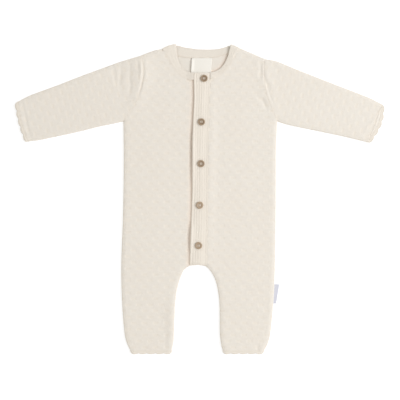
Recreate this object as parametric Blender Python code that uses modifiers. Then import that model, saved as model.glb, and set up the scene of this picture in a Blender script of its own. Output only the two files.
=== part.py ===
"""A knitted baby romper with long sleeves and long legs, buttoned down the front and laid flat.

Units are metres. +X points to the wearer's left, +Y to the neck and +Z up from the surface
that the romper lies on. The back lies flat on that surface, and the front lies on the back.
"""

import math

import bpy
import numpy as np

# ---------------------------------------------------------------------------
# Driving sizes
# ---------------------------------------------------------------------------

CLOTH = 0.0018  # wall of the knitted cloth
SEAM_GAP = 0.0003  # between two pieces that are sewn edge to edge
SEAM_SHIFT = 0.00045  # in-plane step that leaves SEAM_GAP where a seam runs at a slant
LOFT = 0.0024  # how far the front rises off the back, away from the outline
ROLL = 0.018  # distance from the outline over which it rises
EDGE_ROUND = 0.0018  # how far in from a folded edge the tube is at its full height

RIB_HEIGHT = 0.0006  # ribs of the neckband and the buttonhole band
RIB_WALL = 0.0018
BAND_OVERLAP = 0.0015  # the buttonhole band's free edge beyond the button band's seam
BAND_STEP = 0.0065  # width over which the buttonhole band climbs onto the button band
PLACKET_RIBS = 7
NECK_RIBS = 3
NECK_FOLD_GAP = 0.0012  # inside of the neckband's fold at the shoulder
NECK_FOLD_BOW = {"right": 0.0020, "left": 0.0006}  # how far that fold bows away from the body
NECK_LIFT = {"right": 0.0, "left": 0.0024}  # how far its free edge stands up at the front
NECK_TILT_SHIFT = {"right": 0.0, "left": 0.0006}  # keeps its seam clear where it stands up

TRIM_WALL = 0.0016
TRIM_WIDTH = 0.0045  # scalloped edging at cuffs and hems, without its scallops
TRIM_SHIFT = 0.00072  # in-plane step from the cloth to its edging, where the walls slant
SCALLOP_ROW = 0.0015  # height of the row of the edging that the scallops grow from
SCALLOP_DEPTH = 0.0017
SCALLOP_FULLNESS = 0.8  # below 1 for round scallops with sharp valleys
HEM_TAPER = 0.035  # how much narrower its free edge is at the hem
SCALLOPS = 12  # round each cuff and hem
POINTS_PER_SCALLOP = 3
# Rings of an edging: distance from the cloth it is sewn to, and share of the scallops.
EDGING_RINGS = ((TRIM_SHIFT, 0.0), (TRIM_WIDTH - SCALLOP_ROW, 0.35), (TRIM_WIDTH, 1.0))

BUTTON_RADIUS = 0.0061
BUTTON_HEIGHT = 0.0025
BUTTON_DISH = 0.0008  # how deep the middle of its face lies
BUTTON_RIM = 0.0016
BUTTON_SEGMENTS = 20

LABEL_WALL = 0.0009
LABEL_LIFT = 0.0008  # how far the middle of the neck label rises off the back
TAG_HEIGHT = 0.0014  # of the side tag's underside at its seam
TAG_DROOP = 0.0008  # how much lower its free edge lies

# Rows of points that every panel has between the levels where pieces meet.
NECK_ROWS = 8
CHEST_ROWS = 5
BODY_ROWS = 9
LEG_ROWS = 13
NECK_LEVEL = {"right": 0.1960, "left": 0.1975}  # where the neck seam meets the opening
CHEST_LEVEL = 0.1280
CROTCH_SIDE_LEVEL = -0.1000
HEM_LEVEL = -0.2508
SLEEVE_END = 0.978  # where the cuff's edging starts, as a share of the sleeve's length
ARMHOLE_FADE = 1.6  # how soon the sleeve's rings lose the curve of the armhole
CUFF_FULLNESS = 0.6  # below 1 for a cuff whose front edge is drawn back evenly

PANEL_COLUMNS = 8
BACK_SHOULDER_COLUMNS = 3
BACK_NECK_COLUMNS = 6
SLEEVE_RINGS = 12
LINE_STEP = 0.001  # spacing of the points on a smoothed edge
OUTLINE_STEP = 0.008  # and of those that the height of the front is measured from
SHARP_ANGLE = math.radians(40)

# ---------------------------------------------------------------------------
# Edges of the pattern pieces, as (x, y) points from the neck end downwards.
# "right" and "left" are the wearer's.
# ---------------------------------------------------------------------------

SHOULDER = {
    "right": ((-0.0575, 0.2470), (-0.0695, 0.2465), (-0.0825, 0.2425), (-0.0950, 0.2375)),
    "left": ((0.0595, 0.2520), (0.0710, 0.2465), (0.0860, 0.2400), (0.1065, 0.2310)),
}

ARMHOLE = {
    "right": (
        (-0.0950, 0.2375),
        (-0.0940, 0.2200),
        (-0.0935, 0.2045),
        (-0.0980, 0.1830),
        (-0.1030, 0.1660),
        (-0.1110, 0.1500),
        (-0.1265, 0.1280),
    ),
    "left": (
        (0.1065, 0.2310),
        (0.1055, 0.2150),
        (0.1060, 0.1980),
        (0.1080, 0.1800),
        (0.1135, 0.1600),
        (0.1195, 0.1460),
        (0.1275, 0.1280),
    ),
}

SIDE_SEAM = {
    "right": (
        (-0.1265, 0.1280),
        (-0.1260, 0.0840),
        (-0.1262, 0.0200),
        (-0.1275, -0.0400),
        (-0.1295, -0.0900),
        (-0.1300, -0.1200),
        (-0.1285, -0.1735),
        (-0.1258, -0.2100),
        (-0.1225, -0.2330),
        (-0.1175, -0.2460),
        (-0.1120, -0.2560),
    ),
    "left": (
        (0.1275, 0.1280),
        (0.1257, 0.0840),
        (0.1254, 0.0200),
        (0.1250, -0.0400),
        (0.1244, -0.0900),
        (0.1236, -0.1200),
        (0.1210, -0.1735),
        (0.1178, -0.2080),
        (0.1147, -0.2300),
        (0.1090, -0.2455),
        (0.1020, -0.2560),
    ),
}

# From the middle of the crotch, over its arch and down the inside of the leg.
INSEAM = {
    "right": (
        (-0.0035, -0.1085),
        (-0.0130, -0.1091),
        (-0.0190, -0.1110),
        (-0.0245, -0.1150),
        (-0.0290, -0.1225),
        (-0.0335, -0.1330),
        (-0.0370, -0.1450),
        (-0.0401, -0.1640),
        (-0.0419, -0.1870),
        (-0.0427, -0.2130),
        (-0.0437, -0.2330),
        (-0.0455, -0.2455),
        (-0.0478, -0.2560),
    ),
    "left": (
        (-0.0035, -0.1085),
        (0.0050, -0.1092),
        (0.0105, -0.1115),
        (0.0155, -0.1160),
        (0.0200, -0.1230),
        (0.0245, -0.1315),
        (0.0280, -0.1430),
        (0.0310, -0.1590),
        (0.0325, -0.1770),
        (0.0328, -0.2000),
        (0.0331, -0.2230),
        (0.0349, -0.2400),
        (0.0392, -0.2560),
    ),
}

NECK_SEAM = {
    "right": (
        (-0.0575, 0.2470),
        (-0.0560, 0.2405),
        (-0.0530, 0.2330),
        (-0.0485, 0.2245),
        (-0.0440, 0.2165),
        (-0.0385, 0.2090),
        (-0.0320, 0.2035),
        (-0.0235, 0.1995),
        (-0.0090, 0.1960),
    ),
    "left": (
        (0.0595, 0.2520),
        (0.0568, 0.2445),
        (0.0552, 0.2360),
        (0.0530, 0.2280),
        (0.0492, 0.2205),
        (0.0445, 0.2145),
        (0.0390, 0.2090),
        (0.0310, 0.2035),
        (0.0168, 0.1975),
    ),
}

NECK_FREE_EDGE = {
    "right": (
        (-0.0410, 0.2545),
        (-0.0402, 0.2450),
        (-0.0385, 0.2360),
        (-0.0350, 0.2265),
        (-0.0300, 0.2175),
        (-0.0235, 0.2115),
        (-0.0165, 0.2090),
        (-0.0090, 0.2080),
    ),
    "left": (
        (0.0500, 0.2550),
        (0.0485, 0.2455),
        (0.0465, 0.2375),
        (0.0435, 0.2295),
        (0.0395, 0.2225),
        (0.0345, 0.2165),
        (0.0280, 0.2120),
        (0.0168, 0.2085),
    ),
}

BACK_NECK_SEAM = (
    (-0.0575, 0.2470),
    (-0.0495, 0.2415),
    (-0.0395, 0.2375),
    (-0.0240, 0.2345),
    (-0.0070, 0.2333),
    (0.0090, 0.2335),
    (0.0260, 0.2350),
    (0.0400, 0.2390),
    (0.0505, 0.2445),
    (0.0595, 0.2520),
)

BACK_FREE_EDGE = (
    (-0.0410, 0.2545),
    (-0.0350, 0.2525),
    (-0.0270, 0.2500),
    (-0.0170, 0.2483),
    (-0.0050, 0.2472),
    (0.0100, 0.2470),
    (0.0220, 0.2472),
    (0.0320, 0.2483),
    (0.0410, 0.2508),
    (0.0500, 0.2545),
)

CENTRE_BACK = (
    (0.0010, 0.2333),
    (0.0005, 0.1960),
    (0.0000, 0.1280),
    (-0.0005, -0.0020),
    (-0.0035, -0.1085),
)

# Free edge and sewn edge of the buttonhole band, which laps right over left.
PLACKET_FREE = (
    (-0.0100, 0.2078),
    (-0.0104, 0.1960),
    (-0.0096, 0.1715),
    (-0.0105, 0.1465),
    (-0.0122, 0.1055),
    (-0.0125, 0.0560),
    (-0.0131, -0.0020),
    (-0.0145, -0.0350),
    (-0.0156, -0.0680),
    (-0.0165, -0.0875),
    (-0.0170, -0.1078),
)

PLACKET_SEAM = (
    (0.0168, 0.2082),
    (0.0168, 0.1975),
    (0.0160, 0.1800),
    (0.0147, 0.1465),
    (0.0131, 0.0805),
    (0.0125, -0.0020),
    (0.0120, -0.0595),
    (0.0106, -0.0845),
    (0.0104, -0.1085),
)

SLEEVE_TOP = {
    "right": (
        (-0.0950, 0.2375),
        (-0.1155, 0.2315),
        (-0.1320, 0.2265),
        (-0.1650, 0.2145),
        (-0.1980, 0.2025),
        (-0.2310, 0.1895),
        (-0.2640, 0.1775),
        (-0.2810, 0.1710),
        (-0.2950, 0.1648),
        (-0.3045, 0.1580),
    ),
    "left": (
        (0.1065, 0.2310),
        (0.1180, 0.2296),
        (0.1320, 0.2257),
        (0.1480, 0.2186),
        (0.1650, 0.2120),
        (0.1980, 0.1988),
        (0.2310, 0.1861),
        (0.2640, 0.1733),
        (0.2805, 0.1667),
        (0.2945, 0.1602),
        (0.3035, 0.1545),
    ),
}

SLEEVE_BOTTOM = {
    "right": (
        (-0.1265, 0.1280),
        (-0.1480, 0.1232),
        (-0.1650, 0.1197),
        (-0.1980, 0.1115),
        (-0.2310, 0.1042),
        (-0.2640, 0.0975),
        (-0.2785, 0.0950),
        (-0.2868, 0.0950),
    ),
    "left": (
        (0.1275, 0.1280),
        (0.1400, 0.1238),
        (0.1530, 0.1206),
        (0.1815, 0.1147),
        (0.2145, 0.1079),
        (0.2475, 0.1007),
        (0.2680, 0.0957),
        (0.2795, 0.0930),
    ),
}

# How far the middle of each cuff bows outwards, and how far its front edge is drawn back.
CUFF_BOW = {"right": 0.0026, "left": 0.0074}
CUFF_DRAWN_BACK = {"right": 0.0, "left": 0.0090}

# Creases of the front: start, end, half-width and height (below zero for a trough).
CREASE_COLUMNS = ("start_x", "start_y", "end_x", "end_y", "half_width", "height")
CREASES = (
    (-0.1020, 0.2330, -0.1035, 0.1890, 0.0030, -0.0012),
    (-0.1120, 0.2220, -0.1190, 0.1740, 0.0040, -0.0013),
    (-0.1290, 0.2140, -0.1300, 0.1700, 0.0042, -0.0010),
    (-0.1180, 0.1620, -0.1370, 0.1480, 0.0036, -0.0009),
    (0.1000, 0.2120, 0.0985, 0.1880, 0.0034, -0.0009),
    (0.1020, 0.1660, 0.1120, 0.1490, 0.0036, -0.0012),
    (0.1180, 0.1930, 0.1260, 0.1780, 0.0034, -0.0009),
    (0.1400, 0.1420, 0.1560, 0.1330, 0.0030, -0.0009),
    (0.0800, -0.2440, 0.0960, -0.2290, 0.0034, -0.0007),
)

BUTTONS = ((0.0068, 0.1985), (0.0023, 0.1268), (0.0017, 0.0580), (-0.0005, -0.0105), (-0.0023, -0.0770))

# Neck label: middle of its sewn top edge, width and drop.
LABEL = {"x": 0.0025, "y": 0.2325, "width": 0.0340, "drop": 0.0285, "drift": -0.0015}
# Side tag: upper and lower ends of its sewn edge, and how far it stands out.
SIDE_TAG = {"high_y": -0.1415, "low_y": -0.1730, "proud": 0.0062}

COLOURS = {
    "knit": (0.812, 0.756, 0.672),
    "knit_edging": (0.812, 0.756, 0.672),
    "knit_rib": (0.824, 0.771, 0.690),
    "button": (0.330, 0.205, 0.140),
    "label": (0.900, 0.890, 0.860),
}
ROUGHNESS = {"knit": 0.92, "knit_edging": 0.92, "knit_rib": 0.90, "button": 0.45, "label": 0.55}


# ---------------------------------------------------------------------------
# Curves
# ---------------------------------------------------------------------------


def smooth_line(points):
    """A smooth line through the points, as closely spaced points."""
    points = np.array(points, float)
    before = np.vstack([2 * points[0] - points[1], points, 2 * points[-1] - points[-2]])
    line = []
    for start in range(len(points) - 1):
        p0, p1, p2, p3 = before[start : start + 4]
        a, b, c = np.linalg.norm(p1 - p0), np.linalg.norm(p2 - p1), np.linalg.norm(p3 - p2)
        leave = (p1 - p0) / a * b * b / (a + b) + (p2 - p1) * a / (a + b)
        arrive = (p2 - p1) * c / (b + c) + (p3 - p2) / c * b * b / (b + c)
        for step in np.arange(0, 1, LINE_STEP / b):
            s2, s3 = step**2, step**3
            line.append(
                (2 * s3 - 3 * s2 + 1) * p1
                + (s3 - 2 * s2 + step) * leave
                + (3 * s2 - 2 * s3) * p2
                + (s3 - s2) * arrive
            )
    return np.array(line + [points[-1]])


def lengths(line):
    """The distance along the line to each of its points."""
    return np.concatenate([[0], np.cumsum(np.linalg.norm(np.diff(line, axis=0), axis=1))])


def at_lengths(line, wanted):
    along = lengths(line)
    return np.stack([np.interp(wanted, along, line[:, axis]) for axis in range(line.shape[1])], axis=1)


def spaced(line, count):
    """Evenly spaced points along the whole line."""
    return at_lengths(line, np.linspace(0, lengths(line)[-1], count))


def stretch(line, high, low, count):
    """Evenly spaced points on a line that runs downwards, between two levels of y."""
    ends = np.interp([-high, -low], -line[:, 1], lengths(line))
    return at_lengths(line, np.linspace(*ends, count))


def join(*stretches):
    """Stretches that share their end points, as one row of points."""
    return np.vstack([stretches[0]] + [piece[1:] for piece in stretches[1:]])


def across(start, end, count):
    """Points from start to end, for each pair of rows: an array of sections."""
    share = np.linspace(0, 1, count)[None, :, None]
    return start[:, None, :] * (1 - share) + end[:, None, :] * share


OUTWARD = {"right": -1, "left": 1}  # sign of x, from the middle to each side

LINES = {
    side: {
        "shoulder": smooth_line(SHOULDER[side]),
        "armhole": smooth_line(ARMHOLE[side]),
        "side": smooth_line(SIDE_SEAM[side]),
        "inseam": smooth_line(INSEAM[side]),
        "neck": smooth_line(NECK_SEAM[side]),
        "sleeve_top": smooth_line(SLEEVE_TOP[side]),
        "sleeve_bottom": smooth_line(SLEEVE_BOTTOM[side]),
    }
    for side in ("right", "left")
}

# ---------------------------------------------------------------------------
# Height of the front layer
# ---------------------------------------------------------------------------


def outline_segments():
    """The romper's closed edges, as pairs of end points: its neck, cuffs and hems are open."""
    starts, ends = [], []
    for side in ("right", "left"):
        for name in ("shoulder", "side", "inseam", "sleeve_top", "sleeve_bottom"):
            edge = LINES[side][name]
            points = spaced(edge, int(lengths(edge)[-1] / OUTLINE_STEP))
            starts.append(points[:-1])
            ends.append(points[1:])
    return np.vstack(starts), np.vstack(ends)


OUTLINE_STARTS, OUTLINE_ENDS = outline_segments()


def distance_to_segments(points, starts, ends):
    """For each point, its distance to each segment and how far along it the nearest place is."""
    run = ends - starts
    offset = points[:, None, :] - starts[None]
    along = np.clip((offset * run).sum(-1) / (run**2).sum(-1), 0, 1)
    return np.linalg.norm(offset - along[..., None] * run, axis=-1), along


def front_underside(points):
    """Height of the front layer's underside above the surface, at (x, y) points of any layout."""
    flat = np.asarray(points, float)[..., :2].reshape(-1, 2)
    distance, _ = distance_to_segments(flat, OUTLINE_STARTS, OUTLINE_ENDS)
    rise = 1 - (1 - np.clip(distance.min(axis=1) / ROLL, 0, 1)) ** 2
    height = CLOTH + SEAM_GAP + LOFT * rise
    for crease in CREASES:
        row = dict(zip(CREASE_COLUMNS, crease))
        start = np.array([[row["start_x"], row["start_y"]]])
        end = np.array([[row["end_x"], row["end_y"]]])
        away, along = distance_to_segments(flat, start, end)
        fade = 0.35 + 0.65 * np.sin(math.pi * along[:, 0])
        height += row["height"] * fade * rise * np.exp(-((away[:, 0] / row["half_width"]) ** 2))
    return height.reshape(np.asarray(points).shape[:-1])


# ---------------------------------------------------------------------------
# Objects
# ---------------------------------------------------------------------------


def clear_scene():
    for obj in list(bpy.data.objects):
        bpy.data.objects.remove(obj, do_unlink=True)
    for mesh in list(bpy.data.meshes):
        bpy.data.meshes.remove(mesh)


def make_material(name):
    """A Principled material with the colour and roughness of one kind of surface."""
    if name in bpy.data.materials:
        return bpy.data.materials[name]
    material = bpy.data.materials.new(name)
    material.use_nodes = True
    shader = material.node_tree.nodes["Principled BSDF"]
    shader.inputs["Base Color"].default_value = (*COLOURS[name], 1)
    shader.inputs["Roughness"].default_value = ROUGHNESS[name]
    shader.inputs["Metallic"].default_value = 0.0
    material.diffuse_color = (*COLOURS[name], 1)
    return material


def add_object(name, mesh, material):
    obj = bpy.data.objects.new(name, mesh)
    bpy.data.collections["baby_romper"].objects.link(obj)
    mesh.materials.append(make_material(material))
    mesh.shade_smooth()
    mesh.set_sharp_from_angle(angle=SHARP_ANGLE)
    return obj


def lofted(name, sections, material, closed=False, facing_up=True):
    """An open sheet, or a tube if closed, through sections that all have the same number of points."""
    rows, columns = sections.shape[:2]
    wrap = columns if closed else columns - 1
    faces = []
    for row in range(rows - 1):
        for column in range(wrap):
            here, beside = row * columns + column, row * columns + (column + 1) % columns
            face = (here, beside, beside + columns, here + columns)
            faces.append(face if facing_up else face[::-1])
    mesh = bpy.data.meshes.new(name)
    mesh.from_pydata(sections.reshape(-1, 3).tolist(), [], faces)
    mesh.validate()
    return add_object(name, mesh, material)


def thicken(obj, wall, outward=True, weights=None):
    """Gives a sheet its wall. Weights, one for each point, scale the wall there."""
    solidify = obj.modifiers.new("Wall", "SOLIDIFY")
    solidify.thickness = wall
    solidify.offset = 1 if outward else -1
    solidify.use_even_offset = True
    solidify.use_quality_normals = True
    if weights is not None:
        group = obj.vertex_groups.new(name="wall")
        for index, weight in enumerate(weights.ravel().tolist()):
            group.add([index], weight, "REPLACE")
        solidify.vertex_group = group.name
    return obj


def with_height(flat, height):
    """Puts (x, y) points at a height, which is a number or an array."""
    return np.concatenate([flat, np.broadcast_to(height, flat.shape[:-1])[..., None]], axis=-1)


def toward(points, targets, distance):
    """Moves each point towards its target by the same distance, in the plane."""
    step = targets - points
    return points + step / np.linalg.norm(step, axis=-1, keepdims=True) * distance


# ---------------------------------------------------------------------------
# Edges of the panels, matched row by row
# ---------------------------------------------------------------------------


def outer_edge(side):
    """Armhole, side seam and outside of the leg, with the rows of every panel."""
    lines = LINES[side]
    return join(
        stretch(lines["armhole"], lines["armhole"][0, 1], NECK_LEVEL[side], NECK_ROWS),
        stretch(lines["armhole"], NECK_LEVEL[side], CHEST_LEVEL, CHEST_ROWS),
        stretch(lines["side"], CHEST_LEVEL, CROTCH_SIDE_LEVEL, BODY_ROWS),
        stretch(lines["side"], CROTCH_SIDE_LEVEL, HEM_LEVEL, LEG_ROWS),
    )


def opening_line(side):
    """Edge of a front panel at the buttoned opening."""
    if side == "right":
        return smooth_line(PLACKET_FREE) + (BAND_OVERLAP, 0)
    return smooth_line(PLACKET_SEAM) + (SEAM_SHIFT, 0)


def front_inner_edge(side):
    """Neck seam, opening, and inside of the leg."""
    opening = opening_line(side)
    inseam = LINES[side]["inseam"]
    on_leg = inseam[(inseam[:, 0] - opening[-1, 0]) * OUTWARD[side] > 0]
    neck = spaced(LINES[side]["neck"], NECK_ROWS)
    chest = stretch(opening, NECK_LEVEL[side], CHEST_LEVEL, CHEST_ROWS)
    neck[-1] = chest[0]
    leg = stretch(on_leg, on_leg[0, 1], HEM_LEVEL, LEG_ROWS)
    body = stretch(opening, CHEST_LEVEL, leg[0, 1], BODY_ROWS)
    body[-1] = leg[0]
    return join(neck, chest, body, leg)


def armhole_rows(side):
    """The panels' points on the armhole."""
    return outer_edge(side)[: NECK_ROWS + CHEST_ROWS - 1]


def bowed_top(sections, top):
    """Bends the first sections to follow the top edge, less and less over the neck rows."""
    bow = top - across(sections[:1, 0], sections[:1, -1], sections.shape[1])[0]
    share = (1 - np.arange(NECK_ROWS) / (NECK_ROWS - 1)) ** 2
    sections[:NECK_ROWS] += share[:, None, None] * bow[None]
    return sections


# ---------------------------------------------------------------------------
# Pieces
# ---------------------------------------------------------------------------


def make_front(side):
    """Front of the body and leg, as one piece from shoulder to hem."""
    sections = across(outer_edge(side), front_inner_edge(side), PANEL_COLUMNS + 1)
    shoulder = spaced(LINES[side]["shoulder"], PANEL_COLUMNS + 1)[::-1]
    sections = bowed_top(sections, shoulder)
    sheet = with_height(sections, front_underside(sections))
    panel = lofted(f"front_{side}", sheet, "knit", facing_up=side == "left")
    return thicken(panel, CLOTH)


def back_neck_points(side):
    """The back's points on its neck seam, from the shoulder to the centre back."""
    line = smooth_line(BACK_NECK_SEAM)
    middle = CENTRE_BACK[0][0]
    half = line[line[:, 0] <= middle] if side == "right" else line[line[:, 0] >= middle][::-1]
    return spaced(half, BACK_NECK_COLUMNS + 1)


def back_half(side):
    """Sections of one half of the back, from the outer edge to the centre or the inside leg."""
    centre = smooth_line(CENTRE_BACK)
    neck = back_neck_points(side)
    shoulder = spaced(LINES[side]["shoulder"], BACK_SHOULDER_COLUMNS + 1)[::-1]
    shoulder[-1] = neck[0]
    neck[-1] = centre[0]
    top = join(shoulder, neck)
    inner = join(
        stretch(centre, centre[0, 1], NECK_LEVEL[side], NECK_ROWS),
        stretch(centre, NECK_LEVEL[side], CHEST_LEVEL, CHEST_ROWS),
        stretch(centre, CHEST_LEVEL, centre[-1, 1], BODY_ROWS),
        stretch(LINES[side]["inseam"], INSEAM[side][0][1], HEM_LEVEL, LEG_ROWS),
    )
    return bowed_top(across(outer_edge(side), inner, len(top)), top)


def make_back():
    """Back of the body and both legs, as one piece. Its halves share the centre line."""
    halves = {side: back_half(side) for side in ("right", "left")}
    rows, columns = halves["right"].shape[:2]
    shared = NECK_ROWS + CHEST_ROWS + BODY_ROWS - 2
    shared_middle = (halves["right"][:shared, -1] + halves["left"][:shared, -1]) / 2
    points, faces, number = [], [], {}
    for side in ("right", "left"):
        for row in range(rows):
            for column in range(columns):
                centre_point = column == columns - 1 and row < shared
                key = ("centre", row, column) if centre_point else (side, row, column)
                number[(side, row, column)] = number.get(key, len(points))
                if key not in number or number[key] == len(points):
                    number[key] = len(points)
                    points.append(shared_middle[row] if centre_point else halves[side][row, column])
    for side in ("right", "left"):
        for row in range(rows - 1):
            for column in range(columns - 1):
                face = [
                    number[(side, row, column)],
                    number[(side, row, column + 1)],
                    number[(side, row + 1, column + 1)],
                    number[(side, row + 1, column)],
                ]
                faces.append(face[::-1] if side == "right" else face)
    mesh = bpy.data.meshes.new("back")
    mesh.from_pydata(with_height(np.array(points), 0.0).tolist(), [], faces)
    mesh.validate()
    return thicken(add_object("back", mesh, "knit"), CLOTH)


def flat_ring(upper, lower, wall):
    """The outside of a flattened tube, from the points across its upper and its lower side.

    Both rows of points share their first and last point, which are the tube's folded edges.
    """
    top = front_underside(upper) + wall
    middle = (CLOTH * 2 + SEAM_GAP) / 2
    high = with_height(upper, top)
    low = with_height(lower, 0.0)
    high[[0, -1], 2] = middle
    return np.vstack([high, low[-2:0:-1]])


def with_round_edges(row):
    """Adds the points beside both folded edges, where the tube reaches its full height."""
    start = toward(row[:1], row[1:2], EDGE_ROUND)
    end = toward(row[-1:], row[-2:-1], EDGE_ROUND)
    return np.vstack([row[:1], start, row[1:-1], end, row[-1:]])


def sleeve_section(side, along, across_shares):
    """Points across the sleeve at a share of its length: 0 at the armhole, 1 at the cuff."""
    ends = []
    for name in ("sleeve_top", "sleeve_bottom"):
        edge = LINES[side][name]
        ends.append(at_lengths(edge, [along * lengths(edge)[-1]])[0])
    armhole = armhole_rows(side)
    row = ends[0] + across_shares[:, None] * (ends[1] - ends[0])
    chord = armhole[0] + across_shares[:, None] * (armhole[-1] - armhole[0])
    curve = at_lengths(armhole, across_shares * lengths(armhole)[-1])
    row = row + (1 - along) ** ARMHOLE_FADE * (curve - chord)
    row[:, 0] += CUFF_BOW[side] * along**2 * np.sin(math.pi * across_shares) * OUTWARD[side]
    return row


def drawn_back(side, row, across_shares, along):
    """The front side of the sleeve ends short of its back side, most of all at the cuff."""
    bow = np.sin(math.pi * across_shares) ** CUFF_FULLNESS
    shift = CUFF_DRAWN_BACK[side] * along**3 * bow
    return row - np.stack([shift * OUTWARD[side], 0 * shift], axis=1)


def sleeve_rows(side, along):
    """The sleeve's points across its upper and its lower side at a share of its length."""
    shares = lengths(armhole_rows(side)) / lengths(armhole_rows(side))[-1]
    row = sleeve_section(side, along, shares)
    return drawn_back(side, row, shares, along), row, shares


def make_sleeve(side):
    """One sleeve, as a flattened tube that is open at the armhole and the cuff."""
    rings = []
    for along in np.linspace(0, SLEEVE_END, SLEEVE_RINGS):
        upper, lower, _ = sleeve_rows(side, along)
        if along == 0:
            upper = lower = armhole_rows(side) + (SEAM_SHIFT * OUTWARD[side], 0)
        rings.append(flat_ring(with_round_edges(upper), with_round_edges(lower), CLOTH))
    tube = lofted(f"sleeve_{side}", np.array(rings), "knit", closed=True, facing_up=side == "left")
    return thicken(tube, CLOTH, outward=False)


def scallop(shares, per_side):
    """Height of the scallops, 0 to 1, at shares of the way across one side."""
    return np.abs(np.sin(math.pi * shares * per_side)) ** SCALLOP_FULLNESS


def edging_from_rings(name, rings, side):
    """An edging's wall from its rings, the sewn one first."""
    faces_up = side == "left"
    tube = lofted(name, np.array(rings), "knit_edging", closed=True, facing_up=faces_up)
    return thicken(tube, TRIM_WALL, outward=False)


def make_cuff_edging(side):
    """Scalloped edging round the cuff."""
    per_side = SCALLOPS // 2
    across_shares = np.linspace(0, 1, per_side * POINTS_PER_SCALLOP + 1)
    upper_end, lower_end, shares = sleeve_rows(side, SLEEVE_END)
    run = LINES[side]["sleeve_top"][-1] - LINES[side]["sleeve_top"][0]
    run = run / np.linalg.norm(run)
    rings = []
    for distance, scalloped in EDGING_RINGS:
        reach = distance + scallop(across_shares, per_side) * scalloped * SCALLOP_DEPTH
        rows = []
        for end in (upper_end, lower_end):
            x = np.interp(across_shares, shares, end[:, 0])
            y = np.interp(across_shares, shares, end[:, 1])
            rows.append(np.stack([x, y], axis=1) + reach[:, None] * run)
        rings.append(flat_ring(*rows, TRIM_WALL))
    return edging_from_rings(f"cuff_edging_{side}", rings, side)


def make_hem_edging(side):
    """Scalloped edging round the end of the leg."""
    per_side = SCALLOPS // 2
    shares = np.linspace(0, 1, per_side * POINTS_PER_SCALLOP + 1)
    ends = [stretch(LINES[side][name], HEM_LEVEL, HEM_LEVEL, 1)[0] for name in ("side", "inseam")]
    rings = []
    for drop, scalloped in EDGING_RINGS:
        width = 1 - HEM_TAPER * scalloped
        row = ends[0] + (0.5 + (shares[:, None] - 0.5) * width) * (ends[1] - ends[0])
        row[:, 1] -= drop + scallop(shares, per_side) * scalloped * SCALLOP_DEPTH
        rings.append(flat_ring(row, row, TRIM_WALL))
    return edging_from_rings(f"hem_edging_{side}", rings, side)


def rib_weights(rows, count):
    """Shares of the wall at each point across a ribbed band: thin between the ribs, full on them."""
    thin = RIB_WALL / (RIB_WALL + RIB_HEIGHT)
    across_ribs = np.where(np.arange(2 * count + 1) % 2 == 1, 1.0, thin)
    return np.tile(across_ribs, (rows, 1))


def at_levels(line, levels):
    """Points of a line that runs downwards, at levels of y."""
    return np.stack([np.interp(-levels, -line[:, 1], line[:, 0]), levels], axis=1)


def opening_rows(side):
    """The front panel's points on the opening, with a point of the neck's free edge above them."""
    rows = front_inner_edge(side)[NECK_ROWS - 1 : NECK_ROWS + CHEST_ROWS + BODY_ROWS - 2]
    top = (opening_line(side)[0, 0], PLACKET_SEAM[0][1])
    return np.vstack([[top], rows])


def band_levels():
    """Levels of y of both bands' sections, which are those of the left front."""
    levels = opening_rows("left")[:, 1].copy()
    levels[-1] = PLACKET_FREE[-1][1]
    return levels


def make_button_band():
    """Under band of the opening, to which the buttons are sewn."""
    levels = band_levels()
    start = at_levels(opening_rows("right"), levels) + (SEAM_SHIFT, 0)
    end = at_levels(opening_rows("left"), levels) - (BAND_STEP + SEAM_SHIFT, 0)
    sections = across(start, end, 3)
    sheet = with_height(sections, front_underside(sections))
    return thicken(lofted("button_band", sheet, "knit_rib", facing_up=False), CLOTH)


def make_buttonhole_band():
    """Top band of the opening, ribbed along its length, lapped over the button band."""
    levels = band_levels()
    free = at_levels(smooth_line(PLACKET_FREE), levels)
    sewn = at_levels(opening_rows("left"), levels) - (2 * SEAM_SHIFT, 0)
    sections = across(free, sewn, 2 * PLACKET_RIBS + 1)
    from_seam = np.linalg.norm(sections - sewn[:, None, :], axis=-1)
    climb = np.clip(from_seam / (BAND_STEP - SEAM_GAP), 0, 1)
    climb = climb * climb * (3 - 2 * climb)
    lapped = CLOTH + SEAM_GAP
    sheet = with_height(sections, front_underside(sections) + climb * lapped)
    band = lofted("buttonhole_band", sheet, "knit_rib", facing_up=False)
    return thicken(band, RIB_WALL + RIB_HEIGHT, weights=rib_weights(len(levels), PLACKET_RIBS))


def neck_front_sections(side):
    """Neckband sections along the front, from the opening to the shoulder."""
    seam = front_inner_edge(side)[:NECK_ROWS][::-1]
    free = spaced(smooth_line(NECK_FREE_EDGE[side]), NECK_ROWS)[::-1]
    seam = toward(seam, free, SEAM_SHIFT + NECK_TILT_SHIFT[side])
    sections = across(seam[:-1], free[:-1], 2 * NECK_RIBS + 1)
    height = np.maximum(front_underside(sections), CLOTH + NECK_FOLD_GAP)
    rising = np.sin(np.linspace(0.2, 0.8, NECK_ROWS - 1) * math.pi)[:, None]
    lift = NECK_LIFT[side] * rising * np.linspace(0, 1, 2 * NECK_RIBS + 1)[None]
    return with_height(sections, height + lift)


def neck_fold_sections(side):
    """Neckband sections round its fold on the shoulder, from the front to the back."""
    seam = toward(np.array(SHOULDER[side][:1]), np.array(NECK_FREE_EDGE[side][:1]), 2 * SEAM_SHIFT)
    free = np.array(NECK_FREE_EDGE[side][:1])
    line = across(seam, free, 2 * NECK_RIBS + 1)[0]
    line[:, 1] += NECK_FOLD_BOW[side] * np.sin(np.linspace(0, math.pi, len(line)))
    inside = np.array([0.0, -NECK_FOLD_GAP / 2])
    return np.array(
        [
            with_height(line + inside, CLOTH + NECK_FOLD_GAP),
            with_height(line, CLOTH + NECK_FOLD_GAP / 2),
            with_height(line + inside, CLOTH),
        ]
    )


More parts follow.
